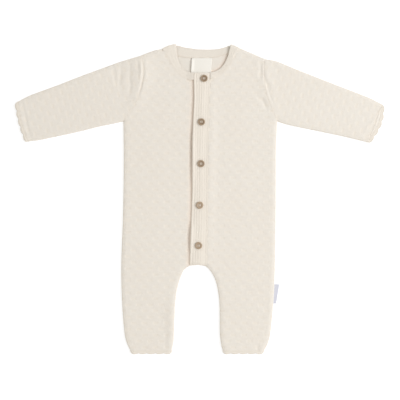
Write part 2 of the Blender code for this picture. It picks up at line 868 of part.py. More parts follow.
def neck_back_sections():
    """Neckband sections along the back, from the wearer's right to the left."""
    right, left = back_neck_points("right"), back_neck_points("left")[::-1]
    seam = join(right, left)[1:-1]
    free = spaced(smooth_line(BACK_FREE_EDGE), len(seam) + 2)[1:-1]
    seam = toward(seam, free, SEAM_SHIFT)
    return with_height(across(seam, free, 2 * NECK_RIBS + 1), CLOTH)


def make_neckband():
    """Ribbed neckband, one strip from one side of the opening round the neck to the other."""
    right_fold = neck_fold_sections("right")
    left_fold = neck_fold_sections("left")[::-1]
    right, left = neck_front_sections("right"), neck_front_sections("left")[::-1]
    left[-1, :, 0] += SEAM_SHIFT
    right[0, :, 0] -= SEAM_SHIFT
    sections = np.concatenate([right, right_fold, neck_back_sections(), left_fold, left])
    weights = rib_weights(len(sections), NECK_RIBS)
    behind = slice(len(right) + 1, len(sections) - len(left) - 1)
    weights[behind] = RIB_WALL / (RIB_WALL + RIB_HEIGHT)
    weights[0] = weights[-1] = RIB_WALL / (RIB_WALL + RIB_HEIGHT)
    band = lofted("neckband", sections, "knit_rib")
    return thicken(band, RIB_WALL + RIB_HEIGHT, weights=weights)


def button_profile():
    """Half outline of a turned button, down its outer side from the middle of its face."""
    edge_round = 0.4 * BUTTON_RIM
    return (
        (0.0, BUTTON_HEIGHT - BUTTON_DISH),
        (BUTTON_RADIUS - 2 * BUTTON_RIM, BUTTON_HEIGHT - BUTTON_DISH),
        (BUTTON_RADIUS - 1.3 * BUTTON_RIM, BUTTON_HEIGHT),
        (BUTTON_RADIUS - edge_round, BUTTON_HEIGHT),
        (BUTTON_RADIUS, BUTTON_HEIGHT - edge_round),
        (BUTTON_RADIUS - edge_round / 2, BUTTON_HEIGHT / 4),
        (BUTTON_RADIUS - BUTTON_RIM, 0.0),
        (0.0, 0.0),
    )


def make_button(number, mesh):
    """One button on the buttonhole band."""
    x, y = BUTTONS[number]
    button = bpy.data.objects.new(f"button_{number + 1}", mesh)
    bpy.data.collections["baby_romper"].objects.link(button)
    turn = np.linspace(0, 2 * math.pi, 12)
    rim = np.stack([x + BUTTON_RADIUS * np.cos(turn), y + BUTTON_RADIUS * np.sin(turn)], axis=1)
    band_top = front_underside(rim).max() + CLOTH + SEAM_GAP + RIB_WALL + RIB_HEIGHT
    button.location = (x, y, band_top + SEAM_GAP)
    screw = button.modifiers.new("Turned", "SCREW")
    screw.steps = BUTTON_SEGMENTS
    screw.render_steps = BUTTON_SEGMENTS
    screw.use_merge_vertices = True
    screw.merge_threshold = 0.00005
    return button


def make_buttons():
    mesh = bpy.data.meshes.new("button")
    profile = [(radius, 0.0, height) for radius, height in button_profile()]
    mesh.from_pydata(profile, [(i, i + 1) for i in range(len(profile) - 1)], [])
    mesh.materials.append(make_material("button"))
    for number in range(len(BUTTONS)):
        make_button(number, mesh)


def make_neck_label():
    """Woven label, sewn under the back neck seam and lying on the inside of the back."""
    shares = np.linspace(-0.5, 0.5, 7)
    sections = []
    for drop in np.linspace(0, 1, 5):
        x = LABEL["x"] + LABEL["drift"] * drop + shares * LABEL["width"]
        y = np.full_like(x, LABEL["y"] - drop * LABEL["drop"])
        lift = LABEL_LIFT * math.sin(math.pi * min(drop * 1.1, 1)) * (1 - 0.8 * np.abs(2 * shares) ** 4)
        sections.append(np.stack([x, y, CLOTH + SEAM_GAP + lift], axis=1))
    return thicken(lofted("neck_label", np.array(sections), "label", facing_up=False), LABEL_WALL)


def make_side_tag():
    """Small folded tag that stands out of the wearer's left side seam."""
    sewn = stretch(LINES["left"]["side"], SIDE_TAG["high_y"], SIDE_TAG["low_y"], 6)
    sewn = sewn + (SEAM_SHIFT, 0)
    outward = sewn + (SIDE_TAG["proud"], 0)
    sections = across(sewn, outward, 4)
    height = TAG_HEIGHT - TAG_DROOP * np.linspace(0, 1, 4)[None] ** 2
    sheet = with_height(sections, height)
    return thicken(lofted("side_tag", sheet, "label", facing_up=False), LABEL_WALL)


def build():
    clear_scene()
    collection = bpy.data.collections.new("baby_romper")
    bpy.context.scene.collection.children.link(collection)
    make_back()
    for side in ("right", "left"):
        make_front(side)
        make_sleeve(side)
        make_cuff_edging(side)
        make_hem_edging(side)
    make_neckband()
    make_button_band()
    make_buttonhole_band()
    make_buttons()
    make_neck_label()
    make_side_tag()


build()
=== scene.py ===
# %% [markdown]
# # A knitted baby romper, laid flat
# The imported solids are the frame: they say where every piece lies and how big it is. This lesson
# dresses them. Each knitted panel becomes a thin shell whose outline is read from its solid, and
# whose height is a formula of the distance to the folded edge. The small things that repeat, such as
# stitches, scallops and the buttons' threads, are made with Geometry Nodes or with loops.

import math

import bmesh
import bpy
import numpy as np
from mathutils import Matrix, Vector, kdtree
from mathutils.geometry import delaunay_2d_cdt


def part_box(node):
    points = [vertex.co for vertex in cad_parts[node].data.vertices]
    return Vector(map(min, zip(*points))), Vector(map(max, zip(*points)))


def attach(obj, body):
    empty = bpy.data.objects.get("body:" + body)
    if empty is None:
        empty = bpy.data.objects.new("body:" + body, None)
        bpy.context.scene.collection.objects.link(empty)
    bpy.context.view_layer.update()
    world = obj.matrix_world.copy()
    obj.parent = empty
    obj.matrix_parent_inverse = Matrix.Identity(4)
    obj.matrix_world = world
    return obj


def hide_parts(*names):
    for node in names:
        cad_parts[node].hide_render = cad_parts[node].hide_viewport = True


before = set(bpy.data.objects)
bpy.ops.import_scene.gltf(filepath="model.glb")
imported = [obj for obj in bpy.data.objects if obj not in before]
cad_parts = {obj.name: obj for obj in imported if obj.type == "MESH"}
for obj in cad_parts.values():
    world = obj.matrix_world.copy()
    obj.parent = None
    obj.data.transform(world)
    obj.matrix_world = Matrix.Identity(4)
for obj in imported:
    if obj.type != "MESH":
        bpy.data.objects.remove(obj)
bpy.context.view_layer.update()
MM = 0.001
SIDES = ("right", "left")  # the wearer's
OUTWARD = {"right": -1, "left": 1}  # sign of x, from the middle to each side
print("nodes to dress:", sorted(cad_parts))

# %% [markdown]
# ## Small helpers for materials
# Colours are written as sRGB hex values, as a colour picker shows them, while Blender's sockets want
# linear light, so one function converts them. Another adds a node, sets its properties and fills its
# inputs: a value is typed in, and another node is linked, by its first output if none is named.
# Every material ends in the same way: a colour and a relief go to the Principled shader.

# %% Helpers for materials
MATH, MIX, NOISE = "ShaderNodeMath", "ShaderNodeMix", "ShaderNodeTexNoise"


def linear(hex_colour):
    """An sRGB hex colour as linear red, green, blue and alpha."""
    shares = [int(hex_colour[i : i + 2], 16) / 255 for i in (1, 3, 5)]
    return [c / 12.92 if c <= 0.04045 else ((c + 0.055) / 1.055) ** 2.4 for c in shares] + [1.0]


def fill(node, inputs):
    """Fills a node's inputs with values, other nodes' outputs, or nodes for their first output."""
    for name, value in inputs.items():
        if isinstance(value, bpy.types.Node):
            value = next(socket for socket in value.outputs if socket.enabled)
        if isinstance(value, bpy.types.NodeSocket):
            node.id_data.links.new(value, node.inputs[name])
        else:
            node.inputs[name].default_value = value


def add_node(tree, kind, inputs=None, **settings):
    """Adds a node to a tree, with its properties set and its inputs filled."""
    node = tree.nodes.new(kind)
    for name, value in settings.items():
        setattr(node, name, value)
    fill(node, inputs or {})
    return node


def new_material(name, inputs):
    """A material with a Principled shader, and its empty node tree."""
    material = bpy.data.materials.new(name)
    material.use_nodes = True
    fill(material.node_tree.nodes["Principled BSDF"], inputs)
    return material, material.node_tree


def covered(material, colour, height, depth, strength):
    """Gives the material its colour, and a relief with its depth in metres."""
    tree = material.node_tree
    inputs = {"Height": height, "Distance": depth, "Strength": strength}
    relief = add_node(tree, "ShaderNodeBump", inputs)
    fill(tree.nodes["Principled BSDF"], {"Base Color": colour, "Normal": relief})
    return material


print("middle grey is", round(linear("#808080")[0], 3), "in linear light")

# %% [markdown]
# ## Knitted cotton
# The romper is a fine single-jersey knit: columns of V-shaped stitches, with small dashes of purl
# stitches set in staggered rows. A real stitch is about 1.4 mm wide, which would vanish in a picture
# of the whole garment, so it is drawn 2 mm wide. The stitches are a bump pattern worked out from the
# panel's own UV map, which holds metres on the cloth, so that they follow each panel. The dashes are
# modelled in the mesh, which also stores them as an attribute: there the V stitches give way to the
# round bumps of the purl side. Between the stitches, on the dashes, in the valleys of the ribs and on
# the edgings the colour is painted a little darker: painted shade, for the shade in those hollows.
# In a narrow gap light goes to and fro between two cream faces and turns warmer at each bounce. Few
# bounces are rendered, so an attribute says how near a gap the cloth is, and tints it there. Single
# fibres are too fine to show as well, so the nap is drawn in tufts of about half a millimetre.

# %% Sizes and colours of the stitches
STITCH_WIDTH = 2.0 * MM
STITCH_HEIGHT = 1.6 * MM
STITCH_RELIEF = 0.35 * MM
STITCH_SLANT = 0.9  # how much the legs of a V rise, in stitch heights
HOLLOW_PAINTED_SHADE, DASH_PAINTED_SHADE = 0.34, 0.30  # painted shade: how much of the shaded cream shows between stitches, and on dashes, rib valleys and edgings
PATCH = 38.5 * MM  # stretches of yarn that are a little whiter or warmer show as patches this wide
TUFT = MM / 1.8
TUFT_RELIEF = 0.35  # its height, as a share of a stitch's
COTTON = {
    "Roughness": 0.92, "Sheen Weight": 0.08, "Sheen Roughness": 0.55, "Specular IOR Level": 0.25,
}
# The third colour is a painted shade for hollows between stitches and strands; the fourth is a
# painted warm bounce light beside gaps.
CREAM, CREAM_WARM, CREAM_PAINTED_SHADE, CREAM_GAP = "#F1ECE3", "#F1E9DE", "#E4DACB", "#F1E2D3"
RIB_CREAM, RIB_WARM = "#EFE9DF", "#EFE6DA"


def wave(tree, value):
    """A soft bump, 0 to 1 and back, over each whole unit of the value."""
    share = add_node(tree, MATH, {0: value}, operation="FRACT")
    turn = add_node(tree, MATH, {0: share, 1: math.pi}, operation="MULTIPLY")
    return add_node(tree, MATH, {0: turn}, operation="SINE")


def stitch_relief(tree, purl):
    """Height of the stitches, 0 to 1: V stitches, and purl bumps where the purl socket is 1."""
    place = add_node(tree, "ShaderNodeUVMap", uv_map="cloth")
    axes = add_node(tree, "ShaderNodeSeparateXYZ", {0: place}).outputs
    across = add_node(tree, MATH, {0: axes["X"], 1: STITCH_WIDTH}, operation="DIVIDE")
    along = add_node(tree, MATH, {0: axes["Y"], 1: STITCH_HEIGHT}, operation="DIVIDE")
    share = add_node(tree, MATH, {0: across}, operation="FRACT")
    middle = add_node(tree, MATH, {0: share, 1: 0.5}, operation="SUBTRACT")
    leg = add_node(tree, MATH, {0: middle}, operation="ABSOLUTE")
    slanted = add_node(tree, MATH, {0: leg, 1: -2 * STITCH_SLANT, 2: along}, operation="MULTIPLY_ADD")
    two_legs = add_node(tree, MATH, {0: across, 1: 2.0}, operation="MULTIPLY")
    plain, bumps = (
        add_node(tree, MATH, {0: wave(tree, one), 1: wave(tree, other)}, operation="MULTIPLY")
        for one, other in ((slanted, two_legs), (along, across))
    )
    return add_node(tree, MIX, {"Factor": purl, "A": plain, "B": bumps})


def knitted_cotton(name, cream, warm_cream):
    """Matte combed cotton: soft light all over, a faint nap at grazing angles, and no gloss."""
    material, tree = new_material(name, COTTON)
    purl, warmth = (
        add_node(tree, "ShaderNodeAttribute", attribute_name=stored).outputs["Fac"]
        for stored in ("purl", "warmth")
    )
    relief = stitch_relief(tree, purl)
    place = add_node(tree, "ShaderNodeTexCoord").outputs["Object"]
    uneven = add_node(tree, NOISE, {"Vector": place, "Scale": 1 / PATCH, "Detail": 3.0})
    nap = add_node(tree, NOISE, {"Vector": place, "Scale": 1 / TUFT, "Detail": 2.0})
    ends = {"To Min": HOLLOW_PAINTED_SHADE, "To Max": 0.0}
    hollow = add_node(tree, "ShaderNodeMapRange", {"Value": relief, **ends})
    inputs = {0: purl, 1: DASH_PAINTED_SHADE, 2: hollow}
    painted_shade = add_node(tree, MATH, inputs, operation="MULTIPLY_ADD", use_clamp=True)
    colour = linear(cream)
    # The colour is mixed towards a painted shade between stitches, on dashes, rib valleys and
    # edgings, and towards a painted warm bounce light beside gaps.
    for share, other in ((uneven, warm_cream), (painted_shade, CREAM_PAINTED_SHADE), (warmth, CREAM_GAP)):
        inputs = {"Factor": share, "A": colour, "B": linear(other)}
        colour = add_node(tree, MIX, inputs, data_type="RGBA")
    fuzzy = add_node(tree, MATH, {0: nap, 1: TUFT_RELIEF, 2: relief}, operation="MULTIPLY_ADD")
    return covered(material, colour, fuzzy, STITCH_RELIEF, strength=0.7)


KNIT = knitted_cotton("combed_cotton_jersey", CREAM, CREAM_WARM)
print("made", KNIT.name)

# %% [markdown]
# ## Outlines from the frame
# A panel's solid already has the right outline, so nothing is drawn twice: the faces that look up
# are kept, their border is walked round into a loop, and the loop is cut at its corners. A smooth
# line through the points of each stretch takes the place of the solid's straight facets.

# %% Lines of points
LINE_STEP = 0.5 * MM


def lengths(line):
    """The distance along the line to each of its points."""
    return np.concatenate([[0], np.cumsum(np.linalg.norm(np.diff(line, axis=0), axis=1))])


def read_at(wanted, along, table):
    """The rows of a table, known at some lengths, at the wanted lengths."""
    return np.stack([np.interp(wanted, along, column) for column in table.T], axis=1)


def at_lengths(line, wanted):
    return read_at(wanted, lengths(line), line)


def unit(vectors):
    return vectors / np.linalg.norm(vectors, axis=-1, keepdims=True)


def spaced(line, step):
    """Evenly spaced points along the line, about a step apart, both ends included."""
    total = lengths(line)[-1]
    return at_lengths(line, np.linspace(0, total, max(2, round(total / step) + 1)))


def smooth_line(points):
    """A smooth line through the points, as closely spaced points."""
    points = np.array(points, float)
    before = np.vstack([2 * points[0] - points[1], points, 2 * points[-1] - points[-2]])
    line = []
    for start in range(len(points) - 1):
        p0, p1, p2, p3 = before[start : start + 4]
        a, b, c = np.linalg.norm(p1 - p0), np.linalg.norm(p2 - p1), np.linalg.norm(p3 - p2)
        leave = (p1 - p0) / a * b * b / (a + b) + (p2 - p1) * a / (a + b)
        arrive = (p2 - p1) * c / (b + c) + (p3 - p2) / c * b * b / (b + c)
        share = np.arange(0, 1, LINE_STEP / b)[:, None]
        square, cube = share**2, share**3
        line.append(
            (2 * cube - 3 * square + 1) * p1
            + (cube - 2 * square + share) * leave
            + (3 * square - 2 * cube) * p2
            + (cube - square) * arrive
        )
    return np.vstack(line + [points[-1:]])


print(len(smooth_line(np.array([(0, 0), (10, 3), (20, 0)]) * MM)), "points on a line of about 20 mm")

# %% Walking round a border
MERGE = 0.02 * MM
LEVEL = 0.3  # the least share of a face's normal that points up, or down, where it lies flat
TOP_FLOOR, BOTTOM_CEILING = 2.0 * MM, 1.5 * MM  # between them is the hollow of a flattened tube
SLIVER = 4 * MM**2  # smaller faces belong to the rims at a tube's ends


def border(node, keep):
    """The border of the faces that keep() chooses, as a loop of (x, y) points, counter-clockwise."""
    shape = bmesh.new()
    shape.from_mesh(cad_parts[node].data)
    bmesh.ops.remove_doubles(shape, verts=shape.verts, dist=MERGE)
    shape.verts.index_update()
    shape.normal_update()
    place = {vert.index: vert.co.to_2d() for vert in shape.verts}
    others = [face for face in shape.faces if not keep(face)]
    bmesh.ops.delete(shape, geom=others, context="FACES_ONLY")
    after = {
        corner.vert.index: corner.link_loop_next.vert.index
        for face in shape.faces
        for corner in face.loops
        if corner.edge.is_boundary
    }
    longest = []
    while after:
        walk = [next(iter(after))]
        while walk[-1] in after:
            walk.append(after.pop(walk[-1]))
        longest = max(longest, walk[:-1], key=len)
    shape.free()
    loop = np.array([place[index] for index in longest])
    x, y = loop.T
    return loop if (x * np.roll(y, -1) - y * np.roll(x, -1)).sum() > 0 else loop[::-1]


def faces_up(face):
    return face.normal.z > LEVEL


def outside_top(face):
    high = face.calc_center_median().z > TOP_FLOOR
    return high and face.normal.z > LEVEL and face.calc_area() > SLIVER


def outside_bottom(face):
    low = face.calc_center_median().z < BOTTOM_CEILING
    return low and face.normal.z < -LEVEL and face.calc_area() > SLIVER


print(len(border("back", faces_up)), "points round the back")

# %% Cutting the outlines into stretches
CORNER = math.radians(32)  # a sharper turn than this is a corner of the cloth
SEAM_REACH = 2 * MM  # a point this near the end of a seam belongs to it
NEAR_BOX = 3 * MM


def stretches(loop, seam_ends=()):
    """The loop cut at its corners and where seams end, as smooth lines that share end points."""
    arriving, leaving = loop - np.roll(loop, 1, axis=0), np.roll(loop, -1, axis=0) - loop
    sine = arriving[:, 0] * leaving[:, 1] - arriving[:, 1] * leaving[:, 0]
    cut = np.abs(np.arctan2(sine, (arriving * leaving).sum(1))) > CORNER
    for end in seam_ends:
        cut |= np.linalg.norm(loop - end, axis=1) < SEAM_REACH
    corners = np.flatnonzero(cut)
    parts = []
    for first, last in zip(corners, np.roll(corners, -1)):
        count = (last - first) % len(loop)
        parts.append(smooth_line(loop[(first + np.arange(count + 1)) % len(loop)]))
    return parts


def near_box(point, nodes):
    """Whether an (x, y) point is inside the box of any of the nodes, grown a little."""
    return any(
        all(low[axis] - NEAR_BOX < point[axis] < high[axis] + NEAR_BOX for axis in (0, 1))
        for low, high in map(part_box, nodes)
    )


def middle_of(line):
    return line[len(line) // 2]


SEWN_TO = {"back": ("sleeve_right", "sleeve_left", "hem_edging_right", "hem_edging_left", "neckband")}
PARTS = {}
for side in SIDES:
    front, sleeve = f"front_{side}", f"sleeve_{side}"
    SEWN_TO[front] = (sleeve, f"hem_edging_{side}", "neckband", "buttonhole_band")
    SEWN_TO[sleeve] = SEWN_TO[f"{sleeve}_under"] = (front, f"cuff_edging_{side}")
    PARTS[sleeve] = stretches(border(sleeve, outside_top))
    PARTS[f"{sleeve}_under"] = stretches(border(sleeve, outside_bottom))
SLEEVE_CORNERS = [part[0] for side in SIDES for part in PARTS[f"sleeve_{side}"]]
for name in ("back", "front_right", "front_left"):
    PARTS[name] = stretches(border(name, faces_up), SLEEVE_CORNERS)
FOLDED = {
    name: [part for part in parts if not near_box(middle_of(part), SEWN_TO[name])]
    for name, parts in PARTS.items()
}
for name, parts in PARTS.items():
    print(name, len(parts), "stretches,", len(FOLDED[name]), "folded")

# %% [markdown]
# ## Edges by their place
# Later steps need certain edges of the panels: where the edgings and the sleeves are sewn on. A
# place near the middle of an edge, in mm on the wearer's left side, is enough to find it.

# %% Finding edges
PLACES = {"armhole": (110, 183), "cuff": (292, 128), "hem": (75, -251)}


def stretch_near(name, x, y):
    """The stretch of an outline whose middle is nearest to a place in mm."""
    place = np.array([x, y]) * MM
    return min(PARTS[name], key=lambda line: np.linalg.norm(middle_of(line) - place))


def edges_at(place, side):
    """The upper and the lower layer's edge at an armhole, a cuff or a hem."""
    sleeve = f"sleeve_{side}"
    layers = (f"front_{side}", "back") if place == "hem" else (sleeve, f"{sleeve}_under")
    x, y = PLACES[place]
    return [stretch_near(layer, x * OUTWARD[side], y) for layer in layers]


print({place: round(lengths(edges_at(place, "left")[0])[-1] / MM) for place in PLACES}, "mm long")

# %% [markdown]
# ## Filling an outline with a fine mesh
# A Delaunay triangulation joins any points into well-shaped triangles, and it can be told to keep
# the outline. Its points are a plain grid, which lines up with the pattern of dashes, and a few rows
# that run beside each folded edge, where the cloth turns over and a grid would look stepped.

# %% Distances and triangles
RING_STEP = 1.4 * MM  # along the outlines
RING_INSETS = (0.14 * MM, 0.5 * MM, 1.1 * MM)  # rows of points beside a folded edge
NEAREST = 3  # segments compared for each point
GRID_CLEAR, ROW_CLEAR = 0.5, 0.8  # how near points may come, as shares of a step and of an inset
JOINED = 1e-4  # mm between points that a triangulation takes as one


def folds(*names):
    """The folded edges of the named layers, as evenly spaced points."""
    return [spaced(part, RING_STEP) for name in names for part in FOLDED[name]]


def offsets(points, start, run):
    """How far points lie from segments, and the share along each where it is nearest."""
    offset = points[:, None] - start
    share = np.clip((offset * run).sum(-1) / (run**2).sum(-1), 0, 1)
    return np.linalg.norm(offset - share[..., None] * run, axis=-1), share


def distance_to(points, lines):
    """The distance from each (x, y) point to the nearest of the lines."""
    start = np.vstack([line[:-1] for line in lines])
    run = np.vstack([line[1:] for line in lines]) - start
    tree = kdtree.KDTree(len(start))
    for index, middle in enumerate(start + run / 2):
        tree.insert((*middle, 0), index)
    tree.balance()
    near = np.array([[found[1] for found in tree.find_n((*point, 0), NEAREST)] for point in points])
    return offsets(points, start[near], run[near])[0].min(axis=1)


def inside(points, loop):
    """Which of the points lie inside the closed loop, by counting the edges to their right."""
    x, y = points.T
    odd = np.zeros(len(points), bool)
    for (x0, y0), (x1, y1) in zip(loop, np.roll(loop, -1, axis=0)):
        if y0 != y1:
            odd ^= ((y0 > y) != (y1 > y)) & (x < x0 + (y - y0) * (x1 - x0) / (y1 - y0))
    return odd


def turn_by(angle):
    return np.array([[math.cos(angle), math.sin(angle)], [-math.sin(angle), math.cos(angle)]])


def filled(loop, step, angle=0.0, folded=()):
    """Points and triangles that fill a loop, with the loop's own points first."""
    turn = turn_by(angle)
    aligned = loop @ turn.T / step
    low, high = np.floor(aligned.min(0)), np.ceil(aligned.max(0))
    grid = np.stack(np.meshgrid(np.arange(low[0], high[0]), np.arange(low[1], high[1])), -1)
    grid = (grid.reshape(-1, 2) * step) @ turn
    outline = [np.vstack([loop, loop[:1]])]
    clear = distance_to(grid, outline) > GRID_CLEAR * min(step)
    added = []
    if folded:
        clear &= distance_to(grid, folded) > RING_INSETS[-1] + GRID_CLEAR * min(step)
        for line in folded:
            run = np.gradient(line, axis=0)
            inward = unit(np.stack([-run[:, 1], run[:, 0]], axis=1))
            added += [line + inset * inward for inset in RING_INSETS]
        rows = np.vstack(added)
        gap = np.repeat(np.tile(RING_INSETS, len(folded)), [len(row) for row in added])
        added = [rows[(distance_to(rows, outline) > ROW_CLEAR * gap) & inside(rows, loop)]]
    points = np.vstack([loop, *added, grid[clear & inside(grid, loop)]])
    edges = [(i, (i + 1) % len(loop)) for i in range(len(loop))]
    flat = [Vector(point) for point in points / MM]
    places, _, triangles, *_ = delaunay_2d_cdt(flat, edges, [], 1, JOINED)
    assert len(places) == len(points), "points of an outline cross or touch"
    return points, [tuple(triangle) for triangle in triangles]


def ring(parts):
    """A closed loop through the stretches, evenly spaced along each."""
    return np.vstack([spaced(part, RING_STEP)[:-1] for part in parts])


UPPER_FOLDS = folds("front_right", "front_left", "sleeve_right", "sleeve_left")
LOWER_FOLDS = folds("back", "sleeve_right_under", "sleeve_left_under")
print(len(UPPER_FOLDS), "folded edges above and", len(LOWER_FOLDS), "below")

# %% [markdown]
# ## How high the cloth lies
# Seen from the side, the two layers meet at the outline, turn round it in a small quarter circle,
# and the upper one then rises a little more towards the middle, as loosely laid cloth does. On top
# of that come the creases, each listed one by one: a soft trough or ridge along its own line.

# %% Creases
# Lines of (x, y) in mm, half width in mm, height in mm: below 0 for a trough.
CREASES = (
    # Round the wearer's right armhole: a broad ridge, its seam, and folds on the sleeve.
    (((-96, 236), (-95, 205), (-101, 170), (-116, 142)), 14, 1.5),
    (((-101, 240), (-99, 218), (-103, 190)), 21, 2.5),
    (((-98, 230), (-97.2, 210), (-99.5, 190)), 2, 1),
    (((-93, 230), (-92.6, 206), (-95.5, 193), (-98.2, 180), (-101, 170)), 1.7, -1.5),
    (((-103, 233), (-102.4, 222), (-102.8, 211)), 2, -0.6),
    (((-115.5, 222), (-116, 200), (-114.5, 187), (-118.5, 170)), 3, -1),
    (((-131, 226), (-130.5, 209), (-132.5, 192), (-129, 172)), 3.4, -0.9),
    (((-144, 224), (-141, 205), (-139, 188)), 3.4, -0.7),
    (((-124, 161), (-107, 166)), 2, -0.6),
    # Round the left one.
    (((107, 229), (107, 205), (112, 180), (121, 148)), 12, 1.2),
    (((106.5, 230), (106.3, 200), (109.5, 190), (115, 172), (122, 155)), 1.6, -0.8),
    (((99.8, 226), (100.2, 212), (99.5, 198)), 3, -1.2),
    (((107.5, 195), (112.5, 189), (116.5, 179)), 3, -1),
    (((93, 170), (103, 160)), 3, -0.7),
    (((102, 166), (106, 157), (110.5, 147)), 3, -1.2),
    # Along the insides of the legs, and at the hems.
    (((-42, -160), (-45, -200), (-46, -252)), 11, 1.6),
    (((-57.5, -207), (-56.5, -230), (-57, -252)), 3, -0.4),
    (((95.5, -241), (96, -252)), 3, -1),
    # Beside the cuffs.
    (((-294, 160), (-289.6, 143.3), (-285.5, 121.9), (-278, 97)), 2, -0.6),
    (((273, 113), (280, 122), (290, 133)), 2.2, 0.6),
    # Beside the opening: the seam allowance of the top band, and the hollow before its free edge.
    (((20, 198), (18, 146), (16, 40), (15, -40), (14, -106)), 9, 1.3),
    (((-13.5, 196), (-12.5, 165), (-15.5, 60), (-16.5, -20), (-20, -106)), 3, -0.5),
    (((-12.6, 132), (-13.6, 90), (-15.2, 24)), 2.6, -0.8),
    (((-17.4, -44), (-18.4, -62), (-19, -84)), 2.6, -0.8),
)
# The layer below is pressed flat, so its creases are folds that stand off the surface.
HIDDEN_CREASES = (
    (((-99, 232), (-97, 205), (-103, 172), (-113, 152)), 5, 0.9),
    (((104, 228), (103, 198), (109, 170), (118, 150)), 4.5, 0.8),
    (((-88, 128), (-60, 112), (-31, 106)), 4, 0.7),
    (((96, 139), (71, 118), (48, 112)), 3.6, 0.8),
    (((-20, 178), (4, 171), (33, 176)), 5.5, 0.6),
    (((-112, 22), (-84, 9), (-52, 12)), 4.2, 0.6),
    (((110, -6), (82, -14), (61, -11)), 3.4, 0.7),
    (((-28, -70), (-46, -98), (-75, -112)), 4.6, 0.9),
    (((22, -74), (41, -96), (66, -117)), 4, 0.8),
    (((-96, -168), (-77, -179), (-55, -176)), 3.6, 0.6),
    (((49, -190), (73, -184), (92, -193)), 3.2, 0.7),
    (((-178, 196), (-171, 164), (-176, 142)), 3.8, 0.8),
    (((-236, 171), (-231, 149)), 3.2, 0.6),
    (((166, 199), (172, 170), (168, 149)), 4, 0.8),
    (((225, 174), (231, 147)), 3, 0.6),
)
CREASE_ENDS = 0.3  # a crease's height at its ends, as a share of that in its middle


def quarter(share):
    """Height on a quarter circle at a share of its radius, 0 to 1."""
    return np.sqrt(1 - (1 - np.clip(share, 0, 1)) ** 2)


def creases(points, table):
    """What the creases of a table add at each (x, y) point."""
    height = np.zeros(len(points))
    row = np.arange(len(points))
    for line, half_width, size in table:
        line = np.array(line) * MM
        run = np.diff(line, axis=0)
        away, share = offsets(points, line[:-1], run)
        nearest = away.argmin(axis=1)
        along = (nearest + share[row, nearest]) / len(run)
        fade = CREASE_ENDS + (1 - CREASE_ENDS) * np.sin(math.pi * along)
        height += size * MM * fade * np.exp(-((away[row, nearest] / (half_width * MM)) ** 2))
    return height


print(len(CREASES), "creases above and", len(HIDDEN_CREASES), "below")

# %% Heights of the two layers
MIDDLE = 1.95 * MM  # where the two layers meet at the outline
EDGE_ROUND = 1.3 * MM
EDGE_RISE = 3.1 * MM
LOFT = 1.25 * MM
ROLL = 12 * MM  # distance from the outline over which the loft grows
RIDGE_AT, RIDGE_WIDTH, RIDGE = 5.5 * MM, 3.0 * MM, 0.3 * MM  # the seam allowance, felt through
WALL = 1.6 * MM
MEETING = 0.08 * MM  # each layer's distance from the meeting line
NECK_MIDDLE = np.array([2, 212]) * MM
NECK_REACH = np.array([90, 46]) * MM
NECK_SWELL = 2.0 * MM


def folded_height(edge):
    """Height of the upper layer's outside at a distance from its folded edge."""
    loft = 1 - (1 - np.clip(edge / ROLL, 0, 1)) ** 2
    ridge = RIDGE * np.exp(-(((edge - RIDGE_AT) / RIDGE_WIDTH) ** 2))
    return MIDDLE + EDGE_RISE * quarter(edge / EDGE_ROUND) + LOFT * loft + ridge


def upper_height(points):
    """Outside of the upper layer, which is the fronts and the sleeves' upper sides."""
    edge = distance_to(points, UPPER_FOLDS)
    turned = quarter(edge / EDGE_ROUND)
    return folded_height(edge) + 2 * MEETING * (1 - turned) + turned * creases(points, CREASES)


def lower_height(points):
    """Outside of the lower layer, which lies flat and turns up at the outline."""
    turned = quarter(distance_to(points, LOWER_FOLDS) / EDGE_ROUND)
    return (MIDDLE - 2 * MEETING) * (1 - turned) + turned * creases(points, HIDDEN_CREASES)


def neck_swell(points):
    """How far the back stands off the surface below the neck, where nothing presses it down."""
    away = np.linalg.norm((points - NECK_MIDDLE) / NECK_REACH, axis=-1)
    return NECK_SWELL * (1 - np.clip(away, 0, 1) ** 2) ** 2


print("the chest is", round(upper_height(np.array([[60, 20]]) * MM)[0] / MM, 1), "mm high")

# %% [markdown]
# ## Dashes of purl
# The dashes sit 18 mm apart in rows 10 mm apart, every other row shifted by half. They are a third
# of a millimetre lower than the cloth round them, with soft ends, because purl stitches lie back.
# The panels carry them: the fronts on their upper layer, which is fine, and the back underneath.

# %% The pattern of dashes
DASH_COLUMN = 18.3 * MM
DASH_ROW = 10.0 * MM
DASH_LENGTH = 8.4 * MM
DASH_HEIGHT = 4.4 * MM
DASH_SOFT = 1.2 * MM
DASH_DEPTH = 0.35 * MM
FINE_STEP = np.array([DASH_COLUMN / 16, DASH_ROW / 8])
COARSE_STEP = 2 * FINE_STEP


def dashes(cloth):
    """How much of each point of the cloth is dash, 0 to 1, from (across, along) in metres."""
    row = cloth[:, 1] / DASH_ROW
    shift = 0.5 * (np.floor(row) % 2)
    across = np.abs((cloth[:, 0] / DASH_COLUMN + shift) % 1 - 0.5) * DASH_COLUMN
    along = np.abs(row % 1 - 0.5) * DASH_ROW
    ends = np.clip((DASH_LENGTH / 2 - across) / DASH_SOFT + 0.5, 0, 1)
    return ends * np.clip((DASH_HEIGHT / 2 - along) / DASH_SOFT + 0.5, 0, 1)


def add_object(name, data):
    made = bpy.data.objects.new(name, data)
    bpy.context.scene.collection.objects.link(made)
    return made


def new_piece(name, points, faces, material):
    """A mesh object from points in metres."""
    mesh = bpy.data.meshes.new(name)
    mesh.from_pydata([tuple(point) for point in points], [], faces)
    mesh.materials.append(material)
    mesh.shade_smooth()
    return add_object(name, mesh)


def store(piece, name, values):
    """Stores a number for each point of a piece, for its material to read."""
    attribute = piece.data.attributes.new(name, "FLOAT", "POINT")
    attribute.data.foreach_set("value", values.astype(np.float32))


